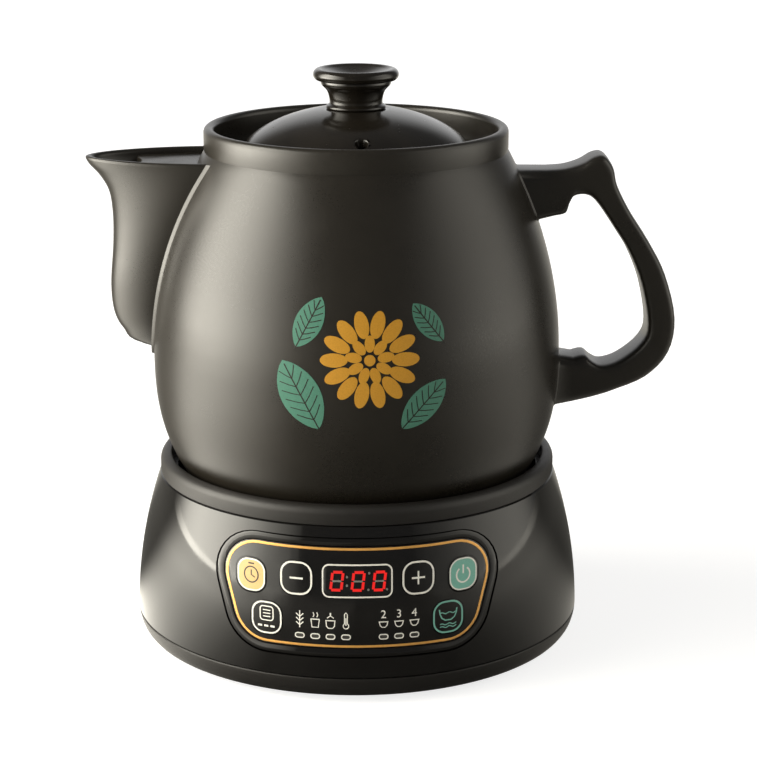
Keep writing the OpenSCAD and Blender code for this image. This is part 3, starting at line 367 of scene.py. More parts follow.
def cut(obj, cutter):
    """Takes the cutter out of the piece."""
    applied(obj, "BOOLEAN", operation="DIFFERENCE", solver="EXACT", object=cutter)
    bpy.data.objects.remove(cutter)
    return obj


def divided(obj, across, upright):
    """Cuts a flat piece's faces along lines, so that it can be bent."""
    only(obj)
    bpy.ops.object.mode_set(mode="EDIT")
    for values, normal in ((across, (1, 0, 0)), (upright, (0, 0, 1))):
        for value in values:
            bpy.ops.mesh.select_all(action="SELECT")
            bpy.ops.mesh.bisect(plane_co=Vector(normal) * value, plane_no=normal)
    bpy.ops.object.mode_set(mode="OBJECT")
    return obj


def rod(name, radius, long, middle, turn=(0, 0, 0), sides=32):
    """A round cutter or pin, upright until it is turned by degrees."""
    deselect()
    bpy.ops.mesh.primitive_cylinder_add(vertices=sides, radius=radius, depth=long, location=middle,
                                        rotation=[math.radians(a) for a in turn])
    bpy.context.object.name = name
    return place_in_mesh(bpy.context.object)


def drum(name, radius, low, high, x=0, y=0, sides=32):
    """An upright rod between two heights; x counts from the pot's axis."""
    return rod(name, radius, high - low, (AXIS_X + x, y, (low + high) / 2), sides=sides)


def block(name, low, high):
    """A block between two corners, for a cutter or a lug; x counts from the pot's axis."""
    low, high = Vector(low), Vector(high)
    middle = (low + high) / 2 + Vector((AXIS_X, 0, 0))
    deselect()
    bpy.ops.mesh.primitive_cube_add(size=1, location=middle, scale=high - low)
    bpy.context.object.name = name
    return place_in_mesh(bpy.context.object)


def swung(obj, degrees):
    """Turns a piece round the pot's axis."""
    move = Matrix.Translation((AXIS_X, 0, 0))
    obj.data.transform(move @ Matrix.Rotation(math.radians(degrees), 4, "Z") @ move.inverted())
    return obj


def finished(obj, body, slot, *nodes, paint=None, angle=32):
    """Shades a piece, paints it and hangs it on its body, in place of its nodes.
    It is painted with the finish of its slot, unless paint names another."""
    only(obj)
    bpy.ops.object.shade_smooth_by_angle(angle=math.radians(angle))
    obj.data.materials.clear()
    obj.data.materials.append(FINISHES[paint or slot])
    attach(obj, body)
    if nodes:
        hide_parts(*nodes)
    deselect()
    return obj


# ------------------------------------------------------------ forms of the pot and the base

# How sharply the pot's side draws in above and below its belly
UPPER_CURVE, LOWER_CURVE = 2, 2.65
# Height of the pot's inner floor over its foot
FLOOR = 8 * MM
POT_STEPS = 192


def pot_r(h):
    """Outer radius of the pot at a height over its foot."""
    s = pot_sizes()
    if h > s.belly_h:
        share = (h - s.belly_h) / (s.neck_h - s.belly_h)
        return s.belly_r - (s.belly_r - s.neck_r) * share ** UPPER_CURVE
    return s.belly_r - (s.belly_r - s.foot_r) * ((s.belly_h - h) / s.belly_h) ** LOWER_CURVE


def pot_in_r(h):
    s = pot_sizes()
    if h > s.belly_h:
        return pot_r(h) - s.wall
    share = (s.belly_h - h) / (s.belly_h - FLOOR)
    return s.belly_r - s.wall - (s.belly_r - s.foot_r) * share ** LOWER_CURVE


def on_pot(h, y):
    """How far the pot's surface lies out from its axis, at a height and a distance across."""
    return math.sqrt((pot_r(h) + 0.15 * MM) ** 2 - y * y)


def shell_r(z):
    s = base_sizes()
    t = (z - s.bottom_z) / (s.top_z - s.bottom_z)
    return s.bottom_r + (s.top_r - s.bottom_r) * t + 4 * s.bulge * t * (1 - t)


def bent(obj, radius_at, foot=0.0):
    """Bends a flat drawing round the front, to a radius that goes with the height."""
    for vertex in obj.data.vertices:
        x, inward, h = vertex.co
        radius = radius_at(h) - inward
        vertex.co = (AXIS_X + x, -math.sqrt(radius * radius - x * x), foot + h)
    return tidy(obj)


def on_shell(obj, depth=0.0):
    """Lays a flat drawing on the front of the base, at a depth under its surface."""
    return bent(obj, lambda z: shell_r(z) - depth)


def round_pot(obj):
    """Lays a flat drawing on the front of the pot; its z counts from the pot's foot."""
    return bent(obj, pot_r, STAND_Z)


PANEL_CORNER, KEY_CORNER = 16.5 * MM, 6 * MM
# How far across the panel's slanted sides go out, per growth of its outline
PANEL_SIDE_GROWTH = 1.05


def panel_outline(grow):
    """The panel's outline seen from the front, grown by a width on every side."""
    s = base_sizes()
    slope = (s.panel_top_w - s.panel_bottom_w) / (s.panel_top_z - s.panel_bottom_z)
    low, high = s.panel_bottom_z - grow, s.panel_top_z + grow
    narrow = s.panel_bottom_w + grow * (PANEL_SIDE_GROWTH - slope)
    wide = s.panel_top_w + grow * (PANEL_SIDE_GROWTH + slope)
    return rounded([(-narrow, low), (narrow, low), (wide, high), (-wide, high)],
                   PANEL_CORNER + grow, 10, 24)


# Middle of each key, across and up, in mm
KEY_PLACES = [(-50.3, 59.3), (-28.8, 60.5), (28.8, 60.5), (50.3, 59.3), (-43, 40.4), (43, 40.4)]
# The lights stand in one row: their places across, in mm, and its height
LIGHT_XS = (-27.2, -19.9, -12.7, -5.4, 12.3, 19.6, 26.9)
LIGHT_Z = 33.9 * MM
WINDOW_Z = 60.2 * MM
# How far a print stands proud of the film
PRINT = 0.06 * MM


def key_outline(place, grow):
    """A key's outline seen from the front, which keeps its width along the curved panel."""
    s = base_sizes()
    x, z = place[0] * MM, place[1] * MM
    width = s.key * math.sqrt(1 - (x / shell_r(z)) ** 2)
    height = s.key - 0.4 * MM
    return rounded_box(width + 2 * grow, height + 2 * grow, KEY_CORNER + grow, x, z, 6, 4)


# ------------------------------------------------------------ finishes

class Value:
    """A socket of a finish that can be used in plain arithmetic."""

    def __init__(self, finish, socket):
        self.finish, self.socket = finish, socket

    def __add__(self, other):
        return self.finish.maths("ADD", self, other)

    def __sub__(self, other):
        return self.finish.maths("SUBTRACT", self, other)

    def __rsub__(self, other):
        return self.finish.maths("SUBTRACT", other, self)

    def __mul__(self, other):
        return self.finish.maths("MULTIPLY", self, other)

    def __truediv__(self, other):
        return self.finish.maths("DIVIDE", self, other)

    def __pow__(self, other):
        return self.finish.maths("POWER", self, other)

    __radd__, __rmul__ = __add__, __mul__

    def over(self, low, high):
        """0 below low, 1 above high and smooth between."""
        return self.finish.node("ShaderNodeMapRange", {"interpolation_type": "SMOOTHSTEP"},
                                {"Value": self, "From Min": low, "From Max": high})


class Nodes:
    """The nodes of a material, a lamp or the world."""

    def __init__(self, tree):
        self.tree = tree

    def node(self, kind, settings=None, values=None, output=0):
        """Adds a node: its settings first, then the values or links of its sockets."""
        node = self.tree.nodes.new(kind)
        for key, value in (settings or {}).items():
            if key == "stops":
                stops = node.color_ramp.elements
                for at, _ in value[1:-1]:
                    stops.new(at)
                for stop, (at, level) in zip(stops, value):
                    stop.position, stop.color = at, (level, level, level, 1)
            else:
                setattr(node, key, value)
        for key, value in (values or {}).items():
            if isinstance(value, Value):
                self.tree.links.new(value.socket, node.inputs[key])
            else:
                node.inputs[key].default_value = value
        return Value(self, node.outputs[output])

    def maths(self, operation, *values):
        return self.node("ShaderNodeMath", {"operation": operation}, dict(enumerate(values)))

    def mixed(self, share, first, second):
        """A colour between two colours."""
        return self.node("ShaderNodeMix", {"data_type": "RGBA"}, {0: share, 6: first, 7: second},
                         output=2)

    def faded(self, share, stops):
        """A level that runs smoothly through stops of (share, level)."""
        level = self.node("ShaderNodeValToRGB", {"stops": stops}, {"Fac": share}, output="Color")
        level.socket.node.color_ramp.interpolation = "B_SPLINE"
        return level

    def seen_by(self, rays):
        """1 for the named kinds of ray, and 0 for the others."""
        kinds = [self.node("ShaderNodeLightPath", output=ray) for ray in rays]
        seen = kinds[0]
        for kind in kinds[1:]:
            seen = self.maths("MAXIMUM", seen, kind)
        return seen


FINISHES = {}


class Finish(Nodes):
    """A material: constants stand on its shader, and what varies is drawn by nodes."""

    def __init__(self, name, base, **constants):
        self.material = FINISHES[name] = bpy.data.materials.new(name)
        self.material.use_nodes = True
        super().__init__(self.material.node_tree)
        self.shader = self.tree.nodes["Principled BSDF"]
        self.base = (*base, 1)
        self.shader.inputs["Base Color"].default_value = self.base
        for key, value in constants.items():
            socket = key.replace("_", " ").title().replace("Ior", "IOR")
            self.shader.inputs[socket].default_value = value
        self.place = self.node("ShaderNodeTexCoord", output="Object")

    def noise(self, scale, detail=3.0, roughness=0.55):
        return self.node("ShaderNodeTexNoise", {}, {
            "Vector": self.place, "Scale": scale, "Detail": detail, "Roughness": roughness})

    def spots(self, scale, share):
        """Small round specks in a part of the cells of a grid."""
        cells = self.tree.nodes.new("ShaderNodeTexVoronoi")
        self.tree.links.new(self.place.socket, cells.inputs["Vector"])
        cells.inputs["Scale"].default_value = scale
        distance = Value(self, cells.outputs["Distance"])
        chance = self.node("ShaderNodeSeparateColor", {},
                           {"Color": Value(self, cells.outputs["Color"])})
        return (1 - distance.over(0.12, 0.3)) * (1 - chance.over(share, share + 0.02))

    def along(self, axis):
        return self.node("ShaderNodeSeparateXYZ", {}, {"Vector": self.place}, output=axis)

    def round_axis(self):
        """Distance from the pot's axis, in metres."""
        x, y = self.along("X") - AXIS_X, self.along("Y")
        return (x * x + y * y) ** 0.5

    def set(self, name, value):
        self.tree.links.new(value.socket, self.shader.inputs[name])
        return self

    def shade(self, factor):
        """The base colour, lighter or darker by a factor."""
        return tuple(min(c * factor, 1) for c in self.base[:3]) + (1,)

    def tinted(self, share, factor):
        """Lets the colour drift between the base and a shade of it."""
        return self.set("Base Color", self.mixed(share, self.base, self.shade(factor)))

    def bumped(self, height, depth, strength=1.0):
        """Raises the surface by a height times a depth in metres."""
        return self.set("Normal", self.node(
            "ShaderNodeBump", {}, {"Height": height, "Distance": depth, "Strength": strength},
            output="Normal"))


def moulded(slot, base, factor, rough, drift, grain, depth, **constants):
    """A moulded, cast or woven finish: its tint, gloss and grain drift by noise."""
    finish = Finish(slot, base, roughness=rough, **constants)
    cloud = finish.noise(grain / 12, 2)
    fine = finish.noise(grain, 3)
    finish.tinted(cloud.over(0.35, 0.65), factor)
    finish.set("Roughness", cloud.over(0.3, 0.7) * drift + (rough - drift / 2))
    finish.bumped(fine, depth * MM)


def coated(slot, base, tint, gloss, grain, **constants):
    """A lacquered finish from three noises, each given by its scale and detail. Then come, for
    tint, its range and factor; for gloss, its range, drift and least roughness; for grain, its
    depth in mm and strength."""
    finish = Finish(slot, base, **constants)
    finish.tinted(finish.noise(*tint[:2]).over(*tint[2:4]), tint[4])
    finish.set("Roughness", finish.noise(*gloss[:2]).over(*gloss[2:4]) * gloss[4] + gloss[5])
    finish.bumped(finish.noise(*grain[:2]), grain[2] * MM, grain[3])


def make_finishes():
    c = colours()
    # each row: colour, factor of its tint, roughness and its drift, scale and depth of the grain
    for slot, row, constants in (
            ("dark_rubber", ((0.012, 0.012, 0.012), 1.5, 0.72, 0.1, 1800, 0.05), {}),
            ("gasket_rubber", ((0.026, 0.024, 0.022), 1.4, 0.6, 0.1, 1500, 0.04), {}),
            ("bright_steel", ((0.58, 0.57, 0.55), 1.1, 0.26, 0.1, 900, 0.01), {"metallic": 1.0}),
            ("white_ceramic", ((0.72, 0.69, 0.62), 1.08, 0.45, 0.1, 900, 0.02), {}),
            ("light_lens", ((0.045, 0.043, 0.038), 1.3, 0.22, 0.05, 700, 0.005), {}),
            ("black_plastic", ((0.016, 0.016, 0.017), 1.4, 0.42, 0.12, 1400, 0.03), {}),
            ("white_plastic", ((0.70, 0.69, 0.64), 1.07, 0.4, 0.1, 1200, 0.02), {}),
            ("relay_blue", ((0.03, 0.14, 0.42), 1.2, 0.35, 0.08, 1000, 0.02), {}),
            ("transformer_tape", ((0.62, 0.44, 0.06), 1.15, 0.38, 0.1, 800, 0.03), {}),
            ("capacitor_sleeve", ((0.02, 0.10, 0.07), 1.3, 0.35, 0.08, 900, 0.02), {}),
            ("pin_brass", ((0.66, 0.46, 0.17), 1.15, 0.25, 0.1, 900, 0.01), {"metallic": 1.0}),
            ("wire_sleeve", ((0.42, 0.05, 0.03), 1.3, 0.45, 0.1, 1600, 0.02), {})):
        moulded(slot, *row, **constants)
    coated("well_enamel", (0.010, 0.010, 0.010), (35, 2, 0.35, 0.7, 1.6),
           (300, 3, 0.3, 0.7, 0.15, 0.24), (700, 3, 0.04, 0.6), roughness=0.3)
    coated("panel_gloss", c.panel, (500, 2, 0.4, 0.7, 1.12), (70, 3, 0.35, 0.7, 0.05, 0.08),
           (60, 2, 0.04, 0.3), roughness=0.1, specular_ior_level=0.5)
    coated("key_film", c.panel, (500, 2, 0.4, 0.7, 1.2), (120, 3, 0.35, 0.7, 0.06, 0.12),
           (90, 2, 0.03, 0.3), roughness=0.14, specular_ior_level=0.5)
    coated("gold_line", c.gold, (260, 2, 0.35, 0.65, 1.12), (900, 2, 0.3, 0.7, 0.12, 0.28),
           (1200, 2, 0.01, 0.5), metallic=0.35, roughness=0.35)
    coated("window_smoke", (0.006, 0.006, 0.006), (200, 2, 0.35, 0.65, 1.6),
           (80, 3, 0.35, 0.7, 0.04, 0.05), (60, 2, 0.03, 0.3), roughness=0.05)

    # satin clay: fine grain, faint specks and the soft rings of throwing
    clay = Finish("pot_ceramic", c.ceramic, roughness=0.4, specular_ior_level=0.5)
    cloud = clay.noise(22, 3)
    grain = clay.noise(1500, 3)
    specks = clay.spots(620, 0.05)
    rings = clay.node("ShaderNodeTexWave", {"bands_direction": "Z"}, {
        "Vector": clay.place, "Scale": 34, "Distortion": 2.2, "Detail": 2, "Detail Scale": 0.6},
        output="Fac")
    drifting = clay.mixed(cloud.over(0.3, 0.7) * 0.6 + grain.over(0.3, 0.75) * 0.3,
                          clay.base, clay.shade(1.35))
    clay.set("Base Color", clay.mixed(specks * 0.3, drifting, clay.shade(0.35)))
    clay.set("Roughness", cloud.over(0.3, 0.7) * 0.05 + grain.over(0.2, 0.8) * 0.08 + 0.25)
    clay.bumped(grain * 0.7 + rings * 0.25 - specks * 0.5, 0.05 * MM, 0.6)

    # glaze of the lid: smooth, with a slow drift in gloss and rare pits
    glaze = Finish("lid_glaze", c.glaze, roughness=0.16, specular_ior_level=0.5)
    cloud = glaze.noise(40, 3)
    pits = glaze.spots(380, 0.06)
    glaze.tinted(cloud.over(0.35, 0.7), 1.5)
    glaze.set("Roughness", cloud.over(0.3, 0.7) * 0.08 + pits * 0.2 + 0.13)
    glaze.bumped(glaze.noise(150, 2) * 0.6 - pits * 0.6, 0.05 * MM, 0.5)

    # polished shell: the slight waviness of moulded gloss plastic
    gloss = Finish("base_gloss", c.gloss, roughness=0.07, specular_ior_level=0.5)
    wave = gloss.noise(26, 2)
    gloss.tinted(wave.over(0.35, 0.65), 1.15)
    gloss.set("Roughness", gloss.noise(60, 3).over(0.35, 0.7) * 0.05 + 0.05)
    gloss.bumped(wave * 0.8 + gloss.noise(900, 2) * 0.02, 0.12 * MM, 0.35)

    # spark-eroded plastic of the ring and the cover
    matte = Finish("base_matte", c.matte, roughness=0.5, specular_ior_level=0.5)
    grain = matte.noise(2200, 3, 0.6)
    matte.tinted(grain.over(0.35, 0.7), 1.25)
    matte.set("Roughness", grain.over(0.3, 0.7) * 0.12 + 0.42)
    matte.bumped(grain, 0.05 * MM, 0.7)

    # the plate is turned on a lathe: fine rings round its middle
    metal = Finish("plate_metal", (0.50, 0.49, 0.47), metallic=1.0, roughness=0.3)
    grooves = metal.node("ShaderNodeTexNoise", {"noise_dimensions": "1D"},
                         {"W": metal.round_axis(), "Scale": 2600.0, "Detail": 2.0})
    stain = metal.noise(45, 4)
    metal.set("Base Color", metal.mixed(stain.over(0.4, 0.75), metal.base, (0.30, 0.27, 0.23, 1)))
    metal.set("Roughness", grooves.over(0.3, 0.7) * 0.14 + stain * 0.12 + 0.2)
    metal.bumped(grooves, 0.03 * MM, 0.5)

    # circuit board: green lacquer over copper tracks, drawn as cells
    board = Finish("board_green", (0.012, 0.10, 0.035), roughness=0.35)
    tracks = board.node("ShaderNodeTexBrick", {"offset": 0.5, "squash": 1.0}, {
        "Vector": board.place, "Scale": 150.0, "Mortar Size": 0.02, "Color1": (0, 0, 0, 1),
        "Color2": (0, 0, 0, 1), "Mortar": (1, 1, 1, 1)}, output="Fac")
    board.set("Base Color", board.mixed(tracks * 0.7, board.base, (0.05, 0.22, 0.08, 1)))
    board.set("Roughness", board.noise(600, 3).over(0.3, 0.7) * 0.1 + 0.3)
    board.bumped(tracks * 0.4 + board.noise(900, 2) * 0.3, 0.03 * MM, 0.6)

    for name, base, rough in (("print_ochre", c.ochre, 0.5), ("print_teal", c.teal, 0.5),
                              ("print_sand", c.sand, 0.4), ("print_mint", c.mint, 0.4),
                              ("print_pale", c.pale, 0.4), ("print_dark", c.ceramic, 0.45),
                              ("unlit_segment", (0.22, 0.22, 0.20), 0.3)):
        ink = Finish(name, base, roughness=rough)
        grain = ink.noise(1600, 3)
        ink.tinted(grain.over(0.35, 0.75) * 0.5, 0.78)
        ink.set("Roughness", grain.over(0.3, 0.7) * 0.12 + rough - 0.06)
        ink.bumped(grain, 0.02 * MM, 0.5)
    lit = Finish("lit_segment", c.lit, roughness=0.4, emission_strength=1.0)
    lit.set("Emission Color", lit.mixed(lit.noise(900, 2).over(0.3, 0.7) * 0.4, lit.base,
                                        lit.shade(0.8)))
    lit.shader.inputs["Base Color"].default_value = (0.05, 0.004, 0.004, 1)


# ------------------------------------------------------------ pieces

POT_NODES = ("pot_foot", "pot_body", "pot_collar")
SPOUT_FOOT_H = 91 * MM
SPOUT_TOP_H = 190.3 * MM
# Side outline of the spout: height from foot to top, reach and half width, as shares.
# The first row, of a reach below nothing, hides in the belly.
SPOUT_SHAPE = [
    (0.00, -0.985, 0.16), (0.05, 0.22, 0.30), (0.12, 0.48, 0.42), (0.21, 0.615, 0.51),
    (0.35, 0.65, 0.59), (0.55, 0.60, 0.69), (0.70, 0.59, 0.78), (0.82, 0.635, 0.865),
    (0.90, 0.765, 0.93), (0.96, 0.93, 0.98), (1.00, 1.00, 1.00)
]
NOSE_STEPS = 26
# The nose is between a wedge and an ellipse
NOSE_POWER = 2 / 1.75
# The narrow fillet along the joint with the pot: how far out and up its points lie, in mm
SPOUT_FILLET = ((2.3, -0.15), (1.7, 0.2), (1.1, 0.6), (0.5, 1.2))
# The rim is rounded on both sides: how far down and in its points lie, in mm
SPOUT_RIM = ((1.6, 0.0), (0.9, 0.22), (0.4, 0.6), (0.1, 1.1), (0, 1.6))


def spout_row(share):
    """Height, reach and half width of the spout where the shape table has these shares."""
    s = pot_sizes()
    reach = (s.belly_r + 0.8 * MM if share[1] < -0.9
             else s.belly_r + (s.spout_reach - s.belly_r) * share[1])
    return (SPOUT_FOOT_H + (SPOUT_TOP_H - SPOUT_FOOT_H) * share[0], reach,
            s.spout_half_w * share[2])


def nose(h, half_w, reach, steps=NOSE_STEPS):
    """Rounded wedge outline of the spout at a height, as (reach, across) pairs."""
    root = on_pot(h, half_w)
    points = []
    for i in range(steps + 1):
        a = math.radians(90 - 180 * i / steps)
        y = half_w * soft_power(math.sin(a), NOSE_POWER)
        x = root + (reach - root) * soft_power(max(math.cos(a), 0), NOSE_POWER)
        points.append((max(on_pot(h, y), x), y))
    return points


def spout_ring(row, height, rim):
    """One closed ring of the spout's wall; rim draws both faces in towards its middle."""
    s = pot_sizes()
    h, reach, half_w = row
    root = on_pot(h, 0)
    opened = min(max((h - SPOUT_FOOT_H - 7 * MM) / (10 * MM), 0), 1)
    in_reach = root + max(reach - s.spout_wall - root, 0) * opened + rim
    in_w = max(half_w - s.spout_wall, 0.35 * half_w) + rim
    outer = nose(h, half_w - rim, reach - rim)
    fillet = [(on_pot(h, half_w + out * MM) + up * MM, half_w + out * MM)
              for out, up in SPOUT_FILLET]
    outer = fillet + outer + [(x, -y) for x, y in reversed(fillet)]
    inner = nose(h, in_w, in_reach, NOSE_STEPS + 4)
    return [Vector((AXIS_X - x, y, STAND_Z + height)) for x, y in outer + inner[::-1]]


def spout_at(height):
    """Height, reach and half width of the spout at a height over the pot's foot."""
    rows = [spout_row(s) for s in smooth(SPOUT_SHAPE, 6)]
    for a, b in zip(rows, rows[1:]):
        if b[0] >= height:
            t = (height - a[0]) / max(b[0] - a[0], 1e-9)
            return tuple(p + (q - p) * t for p, q in zip(a, b))
    return rows[-1]


# Points of the handle's outer and inner outline: x and height, outer then inner, in mm
HANDLE_PAIRS = [
    (93, 184.0, 97, 160.8), (102, 184.7, 102.4, 162.2), (110, 187.2, 103.6, 166.5),
    (116, 190.6, 105.6, 170.3), (121, 190.8, 110, 171.6), (125.4, 185, 114.5, 170.6),
    (127.6, 176, 119, 166.0), (134.2, 163, 126.4, 155), (144.2, 147.3, 133.8, 143),
    (152.5, 131, 140.5, 126.4), (158, 109, 144.2, 106), (155.2, 91.5, 141.2, 96.4),
    (144.2, 79, 131, 87.8), (128, 71.8, 122.4, 85), (120, 69, 117.4, 87),
    (113.6, 67.2, 113.4, 90.1), (107.5, 65.8, 107.8, 89)
]
# Heights between which each end of the handle meets the pot, outer then inner, in mm
UPPER_ROOT, LOWER_ROOT = (183.9, 159.2), (64.3, 89.9)
# Sections of each root from inside the wall: share of its size, then growth and way out in mm
ROOT_STEPS = ((0.1, 0, -0.6), (0.5, 0, -0.6), (1, 1.3, -0.35), (1, 0.75, 0.12), (1, 0.2, 0.7))
HANDLE_SIDES = 36
HANDLE_POWER = 2 / 5.2
# Reach of the handle that its points are drawn for, in mm
HANDLE_DRAWN = 158


def handle_section(outer, inner, half_w):
    """One section of the handle, square with round corners, as (x, y, height)."""
    points = []
    for k in range(HANDLE_SIDES):
        a = math.tau * k / HANDLE_SIDES
        across, deep = (soft_power(part, HANDLE_POWER) for part in (math.cos(a), math.sin(a)))
        x, h = ((p + q) / 2 + (p - q) / 2 * across for p, q in zip(outer, inner))
        points.append((x, -half_w * deep, h))
    return points


def handle_root(root, share, grow, out):
    """A section that lies on the pot's surface."""
    top, bottom = (v * MM for v in root)
    middle = (top + bottom) / 2
    half = (top - bottom) / 2 * share + math.copysign(grow, top - bottom)
    half_w = pot_sizes().handle_w / 2 * share + grow
    return [Vector((AXIS_X + on_pot(h, y) + out, y, STAND_Z + h))
            for _, y, h in handle_section((0, middle + half), (0, middle - half), half_w)]


def ledge_h():
    """Height over the pot's foot of the ledge that the lid rests on."""
    return pot_sizes().neck_h - 5 * MM


class HERB_OT_finishes(Operator):
    """Makes the materials of all the pieces"""
    bl_idname = "herb_pot.finishes"
    bl_label = "Finishes"

    def execute(self, context):
        make_finishes()
        for row in frame["record"]["subparts"]:
            node = frame["nodes"][row["node"]]
            node.data.materials.clear()
            node.data.materials.append(FINISHES[row["material_slot"]])
        return {"FINISHED"}


class HERB_OT_pot(Operator):
    """Turns the ceramic pot and drills the strainer behind the spout"""
    bl_idname = "herb_pot.pot"
    bl_label = "Pot"

    def execute(self, context):
        s = pot_sizes()
        collar_r = s.neck_r - 0.6 * MM
        collar_in_r = collar_r - s.lip
        rim_h = s.neck_h + s.collar_h
        mouth_r, mouth_edge_r = 63.5 * MM, 64.3 * MM
        lip_r = s.lip / 2
        under = ledge_h() - 5 * MM
        foot_in = s.foot_r - 12 * MM
        profile = [(0, 2 * MM), (foot_in - MM, 2 * MM), (foot_in, 0), (s.foot_r - 2 * MM, 0),
                   (s.foot_r - 0.7 * MM, 0.3 * MM)]
        profile += [(pot_r(h), h) for h in spread(1.2 * MM, s.neck_h - 0.3 * MM, 76)]
        profile += [(s.neck_r - 0.35 * MM, s.neck_h + 0.5 * MM),
                    (collar_r - 0.25 * MM, s.neck_h + 1.3 * MM), (collar_r, s.neck_h + 2.6 * MM)]
        profile += arc(collar_r - lip_r, rim_h - lip_r, lip_r, 0, 180, 14)
        profile += [(collar_in_r, ledge_h() + 0.6 * MM), (collar_in_r - 0.6 * MM, ledge_h()),
                    (mouth_edge_r, ledge_h()), (mouth_r, ledge_h() - 0.8 * MM), (mouth_r, under)]
        profile += [(pot_in_r(h), h) for h in spread(under - 4 * MM, FLOOR, 48)] + [(0, FLOOR)]
        pot = turned("pot", [(r, STAND_Z + h) for r, h in profile], POT_STEPS)
        # the strainer's holes, as many in each row as the spout covers
        hole_r, pitch = 2.5 * MM, 11 * MM
        holes = []
        h = SPOUT_FOOT_H + 16 * MM
        while h <= SPOUT_TOP_H - 14 * MM:
            for k in range(-2, 3):
                if abs(k) * pitch + 4 * MM < spout_at(h)[2] - s.spout_wall:
                    holes.append(rod("hole", hole_r, 60 * MM, (
                        AXIS_X - 80 * MM, k * pitch, STAND_Z + h), (0, 90, 0), 20))
            h += pitch
        cut(pot, joined("strainer_cutter", holes))
        finished(pot, "pot", "pot_ceramic", *POT_NODES)
        return {"FINISHED"}


class HERB_OT_spout(Operator):
    """Lofts the spout's wall and lays the deck that covers its channel"""
    bl_idname = "herb_pot.spout"
    bl_label = "Spout"

    def execute(self, context):
        s = pot_sizes()
        rows = [spout_row(share) for share in smooth(SPOUT_SHAPE, 5)]
        rows = [row for row in rows if row[0] < SPOUT_TOP_H - 1.7 * MM]
        rings = [spout_ring(row, row[0], 0) for row in rows]
        for down, rim in SPOUT_RIM:
            row = spout_at(SPOUT_TOP_H - down * MM)
            rings.append(spout_ring(row, SPOUT_TOP_H - down * MM, rim * MM))
        wall = lofted("spout", rings)

        top = SPOUT_TOP_H - 3 * MM
        h, reach, half_w = spout_at(SPOUT_TOP_H - 4 * MM)
        outline = nose(h, half_w - s.spout_wall + 0.8 * MM, reach - s.spout_wall + 0.8 * MM, 40)
        root = [(on_pot(h, y) - MM, y) for y in spread(-outline[0][1], outline[0][1], 12)]
        points = [(AXIS_X - x, y) for x, y in outline + root[1:-1]]
        deck = lofted("deck", [[Vector((x, y, STAND_Z + z)) for x, y in points]
                               for z in (top - 3 * MM, top)])
        cut(deck, drum("mouth_cutter", 25 * MM, STAND_Z + top - 9 * MM, STAND_Z + top + 6 * MM,
                       -131 * MM, 0, 96))
        cut(deck, block("tip_cutter", (-164 * MM, -50 * MM, STAND_Z + top - 9 * MM),
                        (-109 * MM, 50 * MM, STAND_Z + top + 6 * MM)))
        applied(deck, "BEVEL", width=0.7 * MM, segments=3, limit_method="ANGLE",
                angle_limit=math.radians(50))
        spout = joined("spout", [wall, deck])
        finished(spout, "pot", "pot_ceramic", "pot_spout", angle=40)
        return {"FINISHED"}


class HERB_OT_handle(Operator):
    """Lofts the handle between its two roots on the pot"""
    bl_idname = "herb_pot.handle"
    bl_label = "Handle"

    def execute(self, context):
        s = pot_sizes()
        stretch = s.handle_reach / HANDLE_DRAWN
        rings = []
        for p in smooth(HANDLE_PAIRS, 4):
            section = handle_section((p[0] * stretch, p[1] * MM), (p[2] * stretch, p[3] * MM),
                                     s.handle_w / 2)
            rings.append([Vector((AXIS_X + x, y, STAND_Z + h)) for x, y, h in section])
        first = [handle_root(UPPER_ROOT, a, g * MM, out * MM) for a, g, out in ROOT_STEPS]
        last = [handle_root(LOWER_ROOT, a, g * MM, out * MM) for a, g, out in ROOT_STEPS[::-1]]
        handle = lofted("handle", first + rings + last)
        finished(handle, "pot", "pot_ceramic", "pot_handle", angle=40)
        return {"FINISHED"}


# How far the dome's outside goes from a sphere's cap, 0, to an ellipse, 1
DOME_FULLNESS = 0.7


